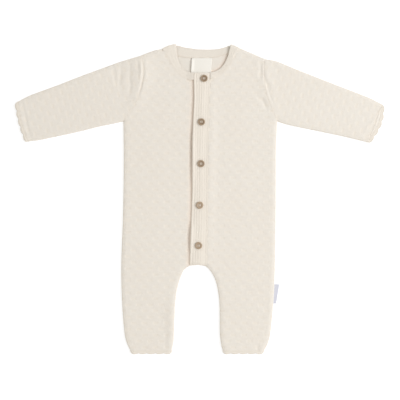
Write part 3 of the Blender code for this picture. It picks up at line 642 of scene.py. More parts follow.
def lay_pattern(piece, cloth, purl):
    """Stores each point's place on the cloth as a UV map, and the dashes as an attribute."""
    mesh = piece.data
    corners = np.zeros(len(mesh.loops), int)
    mesh.loops.foreach_get("vertex_index", corners)
    mesh.uv_layers.new(name="cloth").data.foreach_set("uv", cloth[corners].astype(np.float32).ravel())
    store(piece, "purl", purl)


print("dashes at", DASH_COLUMN / MM, "by", DASH_ROW / MM, "mm")


# %% Making the fronts and the back
def with_heights(points, height):
    return np.concatenate([points, height[..., None]], axis=-1)


def turned_over(faces, shift):
    """Faces that look the other way, between points that are numbered from a shift on."""
    return [tuple(shift + i for i in face[::-1]) for face in faces]


def panel(name, count, upper, lower):
    """A closed shell from two layers: flat points, heights, faces and dashes, the outline's first."""
    (high, top, high_faces, high_purl), (low, under, low_faces, low_purl) = upper, lower
    shift = len(high)
    rim = [(i, shift + i, shift + (i + 1) % count, (i + 1) % count) for i in range(count)]
    points = np.vstack([with_heights(high, top), with_heights(low, under)])
    piece = new_piece(name, points, high_faces + turned_over(low_faces, shift) + rim, KNIT)
    lay_pattern(piece, points[:, :2], np.concatenate([high_purl, low_purl]))
    return piece


def make_front(side):
    """One front panel: pattern side up, wall downwards."""
    name = f"front_{side}"
    loop = ring(PARTS[name])
    fine, fine_faces = filled(loop, FINE_STEP, folded=folds(name))
    coarse, coarse_faces = filled(loop, COARSE_STEP)
    purl = dashes(fine)
    top = upper_height(fine) - DASH_DEPTH * purl
    under = np.maximum(MIDDLE + MEETING, upper_height(coarse) - WALL)
    lower = (coarse, under, coarse_faces, 0 * under)
    return panel(name, len(loop), (fine, top, fine_faces, purl), lower)


def make_back():
    """The back: its inside above, and its pattern side down."""
    loop = ring(PARTS["back"])
    points, faces = filled(loop, COARSE_STEP, folded=folds("back"))
    outside, swell, purl = lower_height(points), neck_swell(points), dashes(points)
    within = np.minimum(MIDDLE - MEETING, outside + WALL) + swell
    below = outside + swell + DASH_DEPTH * purl
    upper = (points, within, faces, 0 * purl)
    return panel("back", len(loop), upper, (points, below, faces, purl))


PANELS = {"back": make_back()}
for side in SIDES:
    PANELS[f"front_{side}"] = make_front(side)
print({name: len(piece.data.polygons) for name, piece in PANELS.items()}, "faces")

# %% [markdown]
# ## Sleeves
# A sleeve is one panel folded round to a tube, so its upper and its lower side are filled apart and
# joined where they meet at the folds. Solidify gives the tube its wall, which shows at the cuff. The
# knitting runs along the sleeve, so the pattern is turned to lie along it.

# %% Making the sleeves
ON_THE_LINE = 0.01 * MM
SLEEVE_DASHES = 0.65  # the dashes are flatter on the sleeves, which are knitted a little looser
FOLD_HEIGHT = 0.5 * MM  # nearer the meeting line than this, a sleeve has no dashes


def knit_angle(side):
    """The turn from the body's pattern to the sleeve's, whose columns run along the sleeve."""
    armhole, cuff = (middle_of(edges_at(place, side)[0]) for place in ("armhole", "cuff"))
    run = (armhole - cuff) * -OUTWARD[side]
    return math.atan2(run[1], run[0]) - math.pi / 2 * -OUTWARD[side]


def applied(piece):
    """Keeps the mesh that a piece's modifiers make, and drops them."""
    mesh = bpy.data.meshes.new_from_object(piece.evaluated_get(bpy.context.evaluated_depsgraph_get()))
    piece.modifiers.clear()
    piece.data = mesh
    return piece


def walled(piece, wall):
    """Gives a sheet its wall, on its inner side."""
    solidify = piece.modifiers.new("wall", "SOLIDIFY")
    solidify.thickness = wall
    solidify.offset = -1
    return applied(piece)


def edited(piece, change):
    """Opens a piece's mesh as a BMesh, changes it and writes it back."""
    shape = bmesh.new()
    shape.from_mesh(piece.data)
    change(shape)
    shape.to_mesh(piece.data)
    shape.free()


def join_near(shape):
    bmesh.ops.remove_doubles(shape, verts=shape.verts, dist=ON_THE_LINE)


def make_sleeve(side):
    name = f"sleeve_{side}"
    angle = knit_angle(side)
    layers = []
    for part, step, height_of in (
        (name, FINE_STEP, upper_height), (f"{name}_under", COARSE_STEP, lower_height),
    ):
        points, faces = filled(ring(PARTS[part]), step, angle, folds(part))
        height = height_of(points)
        height[distance_to(points, folds(part)) < ON_THE_LINE] = MIDDLE
        layers.append((points, faces, height))
    (fine, fine_faces, top), (coarse, coarse_faces, under) = layers
    flat, height = np.vstack([fine, coarse]), np.concatenate([top, under])
    cloth = flat @ turn_by(angle).T
    purl = dashes(cloth)
    inner = (np.abs(height - MIDDLE) > FOLD_HEIGHT) * purl * SLEEVE_DASHES
    height = height + DASH_DEPTH * inner * np.repeat([-1, 1], [len(fine), len(coarse)])
    faces = fine_faces + turned_over(coarse_faces, len(fine))
    piece = new_piece(name, with_heights(flat, height), faces, KNIT)
    lay_pattern(piece, cloth, purl)
    edited(piece, join_near)
    return walled(piece, WALL)


for side in SIDES:
    PANELS[f"sleeve_{side}"] = make_sleeve(side)
    print(f"sleeve_{side}", len(PANELS[f"sleeve_{side}"].data.polygons), "faces")

# %% [markdown]
# ## Scalloped edgings
# Each cuff and hem ends in a narrow crocheted edging with small scallops. It is a flattened tube, so
# it is lofted through rings: the first one follows the panel's end, and each next one lies further
# out, with more of the scallops. The last rings turn down, as the crocheted edge curls.

# %% Lofting through rings
ROUNDNESS = 0.8  # below 1 for round ribs and scallops with sharp valleys


def round_ribs(shares, count):
    """So many ribs or scallops over the shares, 0 to 1 high."""
    return np.abs(np.sin(math.pi * shares * count)) ** ROUNDNESS


def lofted(name, rings, material, closed_rings=True):
    """A mesh of quads between rings of points, each of the same length."""
    rings = np.array(rings)
    count = rings.shape[1]
    faces = []
    for first in range(0, (len(rings) - 1) * count, count):
        for i in range(count - (not closed_rings)):
            j = (i + 1) % count
            faces.append((first + i, first + j, first + count + j, first + count + i))
    return new_piece(name, rings.reshape(-1, 3), faces, material)


def face_outwards(shape):
    """Turns the faces outwards: on a shell that is open at its ends, the highest one must face up."""
    bmesh.ops.recalc_face_normals(shape, faces=shape.faces)
    if max(shape.faces, key=lambda face: face.calc_center_median().z).normal.z < 0:
        bmesh.ops.reverse_faces(shape, faces=shape.faces)


print("an arch of scallops:", round_ribs(np.linspace(0, 1, 5), 1).round(2))

# %% Making the edgings
TRIM_WIDTH = 4.5 * MM
SCALLOP_DEPTH = {"cuff": 2.2 * MM, "hem": 1.6 * MM}
CORNER_ROUND = {"cuff": 2.0 * MM, "hem": 5.5 * MM}
SCALLOPS_PER_SIDE = 5
TRIM_WALL = 1.4 * MM
LOWER_CURL = 0.12  # the lower side is pressed down, so that its edge curls less
SHORT_UPPER = {"cuff_edging_left": 0.3}  # here the upper edge is drawn back, and the inside shows
DRAWN_OVER = 9 * MM  # from a fold to where it is fully drawn back
FLAT_CURL = {"cuff_edging_left": 0.35}  # and this cuff's upper edge curls as little
CURLS = -0.1  # mm of height; what the profile takes off beyond this is curl
CORNER_KEPT = 0.3  # the edging's width at a fold, as a share of that in the middle
EDGING_COLUMNS = 16 * SCALLOPS_PER_SIDE
# Share of the width, share of the scallops, and height added in mm.
EDGING_PROFILE = (
    (0.03, 0, -0.05), (0.10, 0, 0.05), (0.22, 0, 0.12), (0.34, 0, 0.05),
    (0.44, 0.05, -0.10), (0.54, 0.15, 0), (0.66, 0.35, 0.05), (0.78, 0.60, -0.3),
    (0.88, 0.85, -1), (0.95, 0.95, -1.9), (1, 1, -2.85),
)


def make_edging(name, edges, outward):
    """An edging on the end of a tube, whose two edges run from one fold to the other."""
    shares = np.linspace(0, 1, EDGING_COLUMNS + 1)
    rows = [at_lengths(edge, shares * lengths(edge)[-1]) for edge in edges]
    rows[1][[0, -1]] = rows[0][[0, -1]]
    around = lengths(rows[0])[-1]
    near = np.minimum(shares, 1 - shares) * around
    rounded = quarter(near / EDGE_ROUND)
    place = name.split("_")[0]
    kept = CORNER_KEPT + (1 - CORNER_KEPT) * quarter(near / CORNER_ROUND[place])
    drawn = 1 - (1 - SHORT_UPPER.get(name, 1.0)) * quarter(near / DRAWN_OVER)
    scallops = round_ribs(shares, SCALLOPS_PER_SIDE)
    rings = []
    for width, scalloped, relief in EDGING_PROFILE:
        reach = (width * TRIM_WIDTH + scallops * scalloped * SCALLOP_DEPTH[place]) * kept
        curl = relief * FLAT_CURL.get(name, 1.0) if relief < CURLS else relief
        high = np.maximum(folded_height(near) + curl * MM * rounded, MIDDLE)
        low = MIDDLE * (1 - rounded) - LOWER_CURL * np.minimum(relief, 0) * MM * rounded
        upper = with_heights(rows[0] + (reach * drawn)[:, None] * outward, high)
        lower = with_heights(rows[1] + reach[:, None] * outward, low)
        rings.append(np.vstack([upper, lower[-2:0:-1]]))
    piece = lofted(name, rings, KNIT)
    edited(piece, face_outwards)
    x = np.tile(np.arange(len(rings[0])), len(rings)) * around / EDGING_COLUMNS
    y = np.repeat([width * TRIM_WIDTH for width, _, _ in EDGING_PROFILE], len(rings[0]))
    # The edging is purl all over, so it has purl bumps and a painted shade all over.
    lay_pattern(piece, np.column_stack([x, y]), np.ones(len(x)))
    return walled(piece, TRIM_WALL)


UPPER_FOLD = (200, 200)  # a place near the middle of the left sleeve's upper fold, in mm
EDGINGS = {}
for side in SIDES:
    out = OUTWARD[side]
    upper_fold = stretch_near(f"sleeve_{side}", UPPER_FOLD[0] * out, UPPER_FOLD[1])
    away = (upper_fold[-1] - upper_fold[0]) * out
    away = away * np.sign(away[0]) * out / np.linalg.norm(away)
    for place, outward in (("cuff", away), ("hem", np.array([0, -1]))):
        name = f"{place}_edging_{side}"
        EDGINGS[name] = make_edging(name, edges_at(place, side), outward)
print("made", ", ".join(EDGINGS))

# %% [markdown]
# ## Ribbed bands
# The neckband and the buttonhole band are ribbed: cords of stitches with valleys between them. Both
# are strips, so each is a table of points, section by section. The strip's inner side is laid out
# first, and its outer side follows at the wall's thickness, more on the ribs and less between them.

# %% Ribbed strips
RIB_POINTS = 8  # across each rib
BLUNT = 0.5 * MM  # radius of a strip's edges
FREE_THIN, SEWN_THIN = 0.35, 0.82  # the wall at a free edge and at a sewn one, as shares of it
RIB = knitted_cotton("ribbed_cotton", RIB_CREAM, RIB_WARM)


def rib_shares(count):
    return np.linspace(0, 1, count * RIB_POINTS + 1)


def between(start, end, shares):
    """Sections of points from one line across to another."""
    return start[:, None] + shares[None, :, None] * (end - start)[:, None]


def front_inside(flat):
    """The height of the fronts' inner side at the points of some sections."""
    return (upper_height(flat.reshape(-1, 2)) - WALL).reshape(flat.shape[:2])


def ribbed_wall(count, wall, relief, width, sewn_at, valley=0.75):
    """The wall's thickness across a strip with so many ribs, and its valley share, drawn with painted
    shade.
    """
    shares = rib_shares(count)
    ribs = round_ribs(shares, count)
    free, sewn = (
        thin + (1 - thin) * quarter(np.abs(shares - end) * width / BLUNT)
        for thin, end in ((FREE_THIN, 1 - sewn_at), (SEWN_THIN, sewn_at))
    )
    return (wall + relief * ribs) * (free * sewn), valley * (1 - ribs)


def surface_normals(surface):
    return unit(np.cross(np.gradient(surface, axis=1), np.gradient(surface, axis=0)))


def strip(name, inner, wall, valley):
    """A closed strip from its inner side, sections by points, thickened along its normals."""
    outer = inner + surface_normals(inner) * np.broadcast_to(wall, inner.shape[:2])[..., None]
    sections = np.concatenate([inner, outer[:, ::-1]], axis=1)
    piece = lofted(name, sections, RIB)
    count = sections.shape[1]
    half = count // 2
    cloth = np.empty((*sections.shape[:2], 2))
    across = np.linspace(0, 1, half)
    width = np.mean([lengths(section)[-1] for section in inner])
    cloth[..., 0] = width * np.concatenate([across, across[::-1]])
    cloth[..., 1] = lengths(inner[:, half // 2])[:, None]
    purl = np.tile(np.concatenate([valley, valley[::-1]]), len(inner))
    lay_pattern(piece, cloth.reshape(-1, 2), purl)

    def close_ends(shape):
        shape.verts.ensure_lookup_table()
        for first in (0, len(shape.verts) - count):
            for i in range(half - 1):
                corners = (i, i + 1, count - 2 - i, count - 1 - i)
                shape.faces.new([shape.verts[first + k] for k in corners])
        bmesh.ops.recalc_face_normals(shape, faces=shape.faces)

    edited(piece, close_ends)
    return piece, outer


print("made", RIB.name)

# %% [markdown]
# ## The two bands of the opening
# The top band climbs from the left front's edge onto the band below it, and its free edge stands off
# more in some places than in others. Its lower end turns down and is sewn to the back. The band
# below, with the buttons, is a plain strip along the right front, and little of it shows.

# %% Sizes of the two bands
band_lines = sorted(stretches(border("buttonhole_band", faces_up)), key=lambda a: lengths(a)[-1])
FREE_EDGE, SEWN_EDGE = sorted(band_lines[-2:], key=lambda line: middle_of(line)[0])
PLACKET_RIBS = 7
SECTION_STEP = 1.2 * MM
BAND_TOP_END, BAND_LOW_END = 208.0 * MM, -108.3 * MM
BAND_BEND = -85 * MM  # below this the rows bend towards the curve between the legs
# Share across from the free edge, and what the end lies lower there in mm.
BAND_END = ((0, -0.2), (0.05, -1.0), (0.12, -1.3), (0.5, -0.4), (0.8, -1.6), (1, -3.4))
BAND_STEP = 13 * MM  # width over which the band climbs
END_TURN = 3.6 * MM  # the lower end turns down over this length
END_SECTIONS = 8
END_FOOT = MIDDLE + 0.15 * MM
LAPPED = 2.1 * MM  # how far the top band stands above the front, for the band under it
BAND_WIDTH, BAND_WALL, BAND_RELIEF = 27 * MM, 1.7 * MM, 0.22 * MM
BAND_SUNK = 0.1 * MM
UNDER_SEAM = 0.8 * MM  # a sewn edge reaches this far under the panel
EDGE_BEAD, BEAD_AT, BEAD_WIDTH = 0.45 * MM, 0.045, 1.3 * MM  # a knitted edge curls, and is thicker
# Where the free edge stands off more or less: level and height in mm.
BAND_STANDS = (
    (-106, -1), (-90, -0.5), (-79, 1), (-60, 1.6), (-46, 0.7), (-34, -1), (-20, -0.9),
    (0, -0.4), (22, 0), (42, 1), (70, 1.7), (100, 1.5), (125, 0.3), (160, 0.2), (208, 0),
)
STANDS_OVER = 4.5 * MM  # from the free edge inwards
LOW_THIN, HIGH_THIN = 0.1 * MM, 1.0 * MM  # the strip thins out over these lengths at its ends
END_THIN = 0.25  # and keeps this share of its wall there
END_SHIFT = 0.9 * BAND_WALL  # keeps the wall of the turned end above the band's lowest level

UNDER_RIBS, UNDER_SECTIONS = 3, 150
UNDER_TOP_END, UNDER_LOW_END = 207 * MM, -102 * MM
UNDER_WIDTH, UNDER_WALL, UNDER_RELIEF = 18 * MM, 1.3 * MM, 0.3 * MM
UNDER_GAP = 0.3 * MM  # below the front's inner side
UNDER_SHIFT = 0.5 * MM
UNDER_NEAR = (-12, 44)  # a place near the edge of the right front that it runs along, in mm
print("the top band is", round(lengths(FREE_EDGE)[-1] / MM), "mm long")


# %% Making the two bands
def at_levels(line, levels):
    """The line's points at the given levels of y."""
    order = np.argsort(line[:, 1])
    return np.column_stack([np.interp(levels, line[order, 1], line[order, 0]), levels])


def make_buttonhole_band():
    turn_at = BAND_LOW_END + END_TURN
    straight = np.linspace(BAND_TOP_END, turn_at, round((BAND_TOP_END - turn_at) / SECTION_STEP))
    angles = np.linspace(0, math.pi / 2, END_SECTIONS)
    levels = np.concatenate([straight[:-1], turn_at - END_TURN * np.sin(angles)])
    upright = np.concatenate([np.ones(len(straight) - 1), np.cos(angles)])[:, None]
    sewn = at_levels(SEWN_EDGE, levels) + (UNDER_SEAM, 0)
    shares = rib_shares(PLACKET_RIBS)
    flat = between(at_levels(FREE_EDGE, levels), sewn, shares)
    lowering = np.clip((BAND_BEND - levels) / (BAND_BEND - BAND_LOW_END), 0, 1) ** 2
    flat[..., 1] += lowering[:, None] * np.interp(shares, *np.transpose(BAND_END)) * MM
    climb = np.clip(np.linalg.norm(flat - sewn[:, None], axis=-1) / BAND_STEP, 0, 1)
    height = front_inside(flat) - BAND_SUNK + climb**2 * (3 - 2 * climb) * LAPPED
    flat[..., 1] += (1 - upright) * END_SHIFT
    stands = np.interp(levels / MM, *np.transpose(BAND_STANDS)) * MM
    from_free = np.linalg.norm(flat - flat[:, :1], axis=-1)
    height += stands[:, None] * np.exp(-((from_free / STANDS_OVER) ** 2))
    height = END_FOOT + (height - END_FOOT) * upright
    wall, valley = ribbed_wall(PLACKET_RIBS, BAND_WALL, BAND_RELIEF, BAND_WIDTH, sewn_at=1)
    wall = wall + EDGE_BEAD * np.exp(-(((shares - BEAD_AT) * BAND_WIDTH / BEAD_WIDTH) ** 2))
    low = quarter((levels - levels.min()) / LOW_THIN)
    high = quarter((levels.max() - levels) / HIGH_THIN)
    wall = wall * (END_THIN + (1 - END_THIN) * low * high)[:, None]
    return strip("buttonhole_band", with_heights(flat, height)[::-1], wall[::-1], valley)


def make_button_band():
    levels = np.linspace(UNDER_TOP_END, UNDER_LOW_END, UNDER_SECTIONS)
    start = at_levels(stretch_near("front_right", *UNDER_NEAR), levels) + (UNDER_SHIFT, 0)
    flat = between(start, start + (UNDER_WIDTH, 0), rib_shares(UNDER_RIBS))
    inner = with_heights(flat, front_inside(flat) - UNDER_GAP)
    wall, valley = ribbed_wall(UNDER_RIBS, UNDER_WALL, UNDER_RELIEF, UNDER_WIDTH, sewn_at=0)
    return strip("button_band", inner[::-1], wall, valley)[0]


BANDS = {}
BANDS["buttonhole_band"], BAND_TOP = make_buttonhole_band()
BANDS["button_band"] = make_button_band()
print({name: len(band.data.polygons) for name, band in BANDS.items()}, "faces")

# %% [markdown]
# ## Neckband
# One ribbed strip runs from one side of the opening round the neck to the other. On the front it
# lies on the chest and dips a little towards the opening, at each shoulder it turns over, and behind
# it lies under the label. Its edges are given as points, and a smooth line runs through them.
# Last, the cloth beside the opening and beside the neckband's left side gets its warmer tint.

# %% Points and sizes of the neckband
# From the opening to the shoulder, in mm: where it is sewn on, and its free edge.
NECK_SEWN = {
    "right": (
        (-9, 196), (-23.5, 199.5), (-32, 203.5), (-38.5, 209), (-44, 216.5),
        (-48.5, 224.5), (-53, 233), (-57, 240.8), (-62, 246.8),
    ),
    "left": (
        (16.8, 197.5), (31, 203.5), (39, 209), (44.5, 214.5), (49.2, 220.5),
        (53, 228), (55.6, 236), (58.8, 243.5), (63.5, 248.7),
    ),
}
NECK_FREE = {
    "right": (
        (-9, 208), (-16.5, 209), (-23.5, 211.5), (-30, 217.5),
        (-35, 226.5), (-37.8, 236), (-38.9, 245), (-39.2, 254.4),
    ),
    "left": (
        (16.8, 208.5), (28, 212), (34.5, 216.5), (39.5, 222.5),
        (43.5, 229.5), (46.5, 237.5), (48.5, 245.5), (50, 254),
    ),
}
BACK_SEWN = (
    (-62, 246.8), (-51, 242), (-39.5, 237.5), (-24, 234.5), (-7, 233.3),
    (9, 233.5), (26, 235), (40, 239), (51.5, 243.8), (63.5, 248.7),
)
BACK_FREE = (
    (-39.2, 254.4), (-34.5, 253.2), (-27, 250.9), (-17, 249.3), (-5, 247.6),
    (10, 247), (22, 247.2), (32, 248.3), (41, 250.8), (50, 254),
)
NECK_RIBS, NECK_WIDTH, NECK_WALL, NECK_RELIEF, NECK_VALLEY = 3, 12 * MM, 1.7 * MM, 0.14 * MM, 0.35
NECK_LOW = NECK_WALL + NECK_RELIEF  # its inner side where its outer side lies on the surface
NECK_DIP = 0.8 * MM  # how much lower the free edge lies in front
DIP_FROM, DIP_TO = 0.15, 0.9  # the part of half a wave that the dip follows, from the opening
NECK_RAISED = {"right": 1.9 * MM, "left": 0.9 * MM}  # its end, which lies level with the top band
RAISED_OVER = 9 * MM
FOLD_BOW = {"right": 1.5 * MM, "left": 0.3 * MM}
FOLD_GAP = 1.2 * MM
FRONT_SECTIONS, FOLD_SECTIONS, BACK_SECTIONS = 74, 11, 90
FRONT_CUT, BACK_CUT = 4, 3  # sections in front and behind that the fold takes the place of
NECK_SHARES = rib_shares(NECK_RIBS)
print("sections:", FRONT_SECTIONS, "on a front,", FOLD_SECTIONS, "in a fold")


# %% Making the neckband
def even(points, count):
    line = smooth_line(np.array(points) * MM)
    return at_lengths(line, np.linspace(0, lengths(line)[-1], count))


def neck_front(side):
    """Sections along the chest, from the opening to the shoulder."""
    sewn, free = even(NECK_SEWN[side], FRONT_SECTIONS), even(NECK_FREE[side], FRONT_SECTIONS)
    inward = free - sewn
    sewn = sewn - 0.5 * UNDER_SEAM * inward / np.linalg.norm(inward, axis=1)[:, None]
    flat = between(sewn, free, NECK_SHARES)
    turn = np.linspace(DIP_FROM, DIP_TO, FRONT_SECTIONS) * math.pi
    dip = NECK_DIP * np.sin(turn)[:, None] * NECK_SHARES**2
    raised = NECK_RAISED[side] * np.exp(-((lengths(sewn)[:, None] / RAISED_OVER) ** 2))
    return with_heights(flat, np.maximum(front_inside(flat) - dip + raised, NECK_LOW + FOLD_GAP))


def neck_fold(side, top):
    """Sections that turn from the front, at the heights in top, over the shoulder to the back."""
    sewn, free = (np.array(points[side][-1]) * MM for points in (NECK_SEWN, NECK_FREE))
    half = (top - NECK_LOW) / 2
    flat = sewn + NECK_SHARES[:, None] * (free - sewn)
    flat[:, 1] += FOLD_BOW[side] * np.sin(math.pi * NECK_SHARES) - half
    sections = []
    for angle in np.radians(np.linspace(90, -90, FOLD_SECTIONS)):
        section = with_heights(flat, NECK_LOW + half * (1 + math.sin(angle)))
        section[:, 1] += half * math.cos(angle)
        sections.append(section)
    return np.array(sections)


def make_neckband():
    edges = (even(points, BACK_SECTIONS) for points in (BACK_SEWN, BACK_FREE))
    sewn, free = (edge[BACK_CUT:-BACK_CUT] for edge in edges)
    flat = between(sewn, free, NECK_SHARES)
    behind = with_heights(flat, NECK_LOW + neck_swell(flat))
    right, left = (neck_front(side)[:-FRONT_CUT] for side in SIDES)
    right_fold, left_fold = neck_fold("right", right[-1, :, 2]), neck_fold("left", left[-1, :, 2])
    sections = np.concatenate([right, right_fold, behind, left_fold[::-1], left[::-1]])
    wall, valley = ribbed_wall(NECK_RIBS, NECK_WALL, NECK_RELIEF, NECK_WIDTH, 0, NECK_VALLEY)
    return strip("neckband", sections, wall, valley)


BANDS["neckband"], NECK_TOP = make_neckband()
print("neckband", len(BANDS["neckband"].data.polygons), "faces")

# %% A warmer tint beside the gaps
for name, line, reach in (
    ("front_right", spaced(FREE_EDGE, RING_STEP), 5.5 * MM),
    ("back", even(NECK_FREE["left"], FRONT_SECTIONS), 4.5 * MM),
):
    mesh = PANELS[name].data
    places = np.zeros(len(mesh.vertices) * 3)
    mesh.vertices.foreach_get("co", places)
    away = distance_to(places.reshape(-1, 3)[:, :2], [line])
    store(PANELS[name], "warmth", np.exp(-((away / reach) ** 2)))
    print(name, "is tinted within", reach / MM, "mm of a gap")

# %% [markdown]
# ## Yarn laid on points
# Stitches, loops and threads are all the same thing: a short bowed piece of yarn, laid many times.
# A Geometry Nodes tree draws one along a small Bezier curve, thinner at its ends, and instances it on
# every point of a mesh, turned as that point's attribute says. Realize Instances makes it real mesh.
# The yarn's strands would be 0.2 mm wide, too fine to show, and are drawn about three times as wide.

# %% The tree for yarn
YARN_SEGMENTS = 6  # along a yarn, and round it
YARN_END = 0.45  # its thickness at the ends, as a share of that in the middle
YARN_INPUTS = (
    ("Points", "Geometry"), ("Length", "Float"), ("Thickness", "Float"), ("Bow", "Float"),
    ("Yarn", "Material"),
)


def yarn_tree():
    tree = bpy.data.node_groups.new("yarn_on_points", "GeometryNodeTree")
    for name, kind in YARN_INPUTS:
        tree.interface.new_socket(name=name, in_out="INPUT", socket_type=f"NodeSocket{kind}")
    tree.interface.new_socket(name="Mesh", in_out="OUTPUT", socket_type="NodeSocketGeometry")
    given = add_node(tree, "NodeGroupInput").outputs
    scaled = [
        add_node(tree, MATH, {0: given[name], 1: share}, operation="MULTIPLY")
        for name, share in (("Length", -0.5), ("Length", 0.5), ("Bow", 2.0), ("Thickness", 0.5))
    ]
    start, end, rise, radius = scaled
    corners = {
        corner: add_node(tree, "ShaderNodeCombineXYZ", {"X": x, "Z": z})
        for corner, x, z in (("Start", start, 0.0), ("Middle", 0.0, rise), ("End", end, 0.0))
    }
    corners["Resolution"] = YARN_SEGMENTS
    bowed = add_node(tree, "GeometryNodeCurveQuadraticBezier", corners)
    along = add_node(tree, "GeometryNodeSplineParameter")
    turn = add_node(tree, MATH, {0: along, 1: math.pi}, operation="MULTIPLY")
    full = add_node(tree, MATH, {0: turn}, operation="SINE")
    taper = add_node(tree, MATH, {0: full, 1: 1 - YARN_END, 2: YARN_END}, operation="MULTIPLY_ADD")
    tapered = add_node(tree, "GeometryNodeSetCurveRadius", {"Curve": bowed, "Radius": taper})
    inputs = {"Resolution": YARN_SEGMENTS, "Radius": radius}
    profile = add_node(tree, "GeometryNodeCurvePrimitiveCircle", inputs)
    inputs = {"Curve": tapered, "Profile Curve": profile, "Fill Caps": True}
    one = add_node(tree, "GeometryNodeCurveToMesh", inputs)
    inputs = {"Name": "turn"}
    turned = add_node(tree, "GeometryNodeInputNamedAttribute", inputs, data_type="FLOAT_VECTOR")
    rotation = add_node(tree, "FunctionNodeEulerToRotation", {"Euler": turned})
    inputs = {"Points": given["Points"], "Instance": one, "Rotation": rotation}
    many = add_node(tree, "GeometryNodeInstanceOnPoints", inputs)
    real = add_node(tree, "GeometryNodeRealizeInstances", {"Geometry": many})
    inputs = {"Geometry": real, "Material": given["Yarn"]}
    finished = add_node(tree, "GeometryNodeSetMaterial", inputs)
    add_node(tree, "NodeGroupOutput", {"Mesh": finished})
    return tree


YARN_TREE = yarn_tree()
print("made the tree", YARN_TREE.name)


# %% Laying yarn, and its material
STRAND = MM / 1.5
STRAND_RELIEF = 0.2 * MM
STRAND_PAINTED_SHADE = 0.5  # painted shade: how much of the shaded cream shows between the strands


def laid_yarn(name, places, runs, ups, size, material):
    """Short yarns at places, along runs, bowed towards ups; size is length, thickness and bow."""
    turns = []
    for run, up in zip(runs, ups):
        run = Vector(run).normalized()
        side = Vector(up).cross(run).normalized()
        turns.append(Matrix((run, side, run.cross(side))).transposed().to_euler())
    piece = new_piece(name, places, [], material)
    turn = piece.data.attributes.new("turn", "FLOAT_VECTOR", "POINT")
    turn.data.foreach_set("vector", np.array(turns, np.float32).ravel())
    modifier = piece.modifiers.new("yarn", "NODES")
    modifier.node_group = YARN_TREE
    values = dict(zip(("Length", "Thickness", "Bow", "Yarn"), (*size, material)))
    for socket in YARN_TREE.interface.items_tree:
        if socket.name in values:
            modifier[socket.identifier] = values[socket.name]
    applied(piece).data.shade_smooth()
    return piece


def yarn_cotton(name, hex_colour):
    """Twisted cotton yarn: fine diagonal strands across its length, in relief, with painted shade
    between them.
    """
    material, tree = new_material(name, {**COTTON, "Roughness": 0.9, "Sheen Weight": 0.18})
    place = add_node(tree, "ShaderNodeTexCoord").outputs["Object"]
    strands = add_node(tree, NOISE, {"Vector": place, "Scale": 1 / STRAND, "Detail": 2.0})
    ends = {"To Min": 0.0, "To Max": STRAND_PAINTED_SHADE}
    tint = add_node(tree, "ShaderNodeMapRange", {"Value": strands, **ends})
    colours = {"A": linear(hex_colour), "B": linear(CREAM_PAINTED_SHADE)}
    colour = add_node(tree, MIX, {"Factor": tint, **colours}, data_type="RGBA")
    return covered(material, colour, strands, STRAND_RELIEF, strength=0.6)


YARN = yarn_cotton("twisted_cotton_yarn", CREAM_WARM)
print("made", YARN.name)

# %% [markdown]
# ## Stitches on the ribs
# Every rib is a column of V-shaped knit stitches. Each V is two yarns, which lean to the left and to
# the right of the column. They are laid along the crest of each rib.

# %% V stitches
V_STEP = 2.3 * MM
V_LEAN = math.radians(27)
V_SPREAD = 0.6 * MM  # from the crest to each of the two yarns
V_SIZE = (2.7 * MM, 0.85 * MM, 0.16 * MM)
FACING_UP = 0.5  # no stitches where a strip turns over or lies face down


def v_stitches(name, surface, ribs, sink):
    """Columns of V stitches along the ribs of a strip's outer surface."""
    normals = surface_normals(surface)
    places, runs, ups = [], [], []
    for column in range(RIB_POINTS // 2, ribs * RIB_POINTS, RIB_POINTS):
        line = surface[:, column]
        wanted = np.arange(V_STEP, lengths(line)[-1] - V_STEP, V_STEP)
        centre, up = at_lengths(line, wanted), read_at(wanted, lengths(line), normals[:, column])
        run = unit(np.gradient(centre, axis=0))
        side = np.cross(up, run)
        shown = up[:, 2] > FACING_UP
        for hand in (-1, 1):
            places.append((centre + hand * V_SPREAD * side - sink * up)[shown])
            runs.append((run * math.cos(V_LEAN) + hand * side * math.sin(V_LEAN))[shown])
            ups.append(up[shown])
    return laid_yarn(name, np.vstack(places), np.vstack(runs), np.vstack(ups), V_SIZE, RIB)


STITCHES = {
    name: v_stitches(name, surface, ribs, sink)
    for name, surface, ribs, sink in (
        ("buttonhole_band_stitches", BAND_TOP, PLACKET_RIBS, 0.36 * MM),
        ("neckband_stitches", NECK_TOP, NECK_RIBS, 0.44 * MM),
    )
}
print({name: len(piece.data.polygons) for name, piece in STITCHES.items()}, "faces")

# %% [markdown]
# ## Seams
# Knitted panels are linked together loop by loop, which leaves a row of small slanted stitches
# across each seam, over a yarn that runs along it. Together they close the gap between two panels.
# The rows follow the armholes and the edgings, above and below, and the seams of the two bands.

# %% Rows of stitches across the seams
SEAM_STEP = 1.5 * MM
SEAM_LEAN = 0.45  # how far a stitch leans along the seam, as a share of its reach across
SEAM_SIZE = (2.6 * MM, 1.0 * MM, 0.12 * MM)
SEAM_SINK = 0.42 * MM
BELOW_SINK = 0.64 * MM  # keeps the stitches off what the romper lies on
BAND_SINK = 0.15 * MM
CORD_SINK = 0.25 * MM  # the yarn along the seam lies this much deeper than the slanted stitches
SEAM_END = 1.6 * MM  # left free at each end of a seam
OPEN_SKIP, FOLD_SKIP = 4, 6  # sections of a band left free at the opening, and at a shoulder


def seam_row(line, up=1, sink=SEAM_SINK):
    """Places, runs and ups of stitches across a line of 3-D points; up is 1 above and -1 below."""
    places = at_lengths(line, np.arange(SEAM_END, lengths(line)[-1] - SEAM_END, SEAM_STEP))
    run = unit(np.gradient(places, axis=0))
    across = unit(np.cross(run, (0, 0, 1.0)))
    ups = np.cross(across, run) * up
    ups *= np.sign(ups[:, 2] * up)[:, None]
    stitches = (places - sink * ups, across + SEAM_LEAN * run, ups)
    cord = (places - (sink + CORD_SINK) * ups, run, ups)
    return [np.vstack(pair) for pair in zip(stitches, cord)]


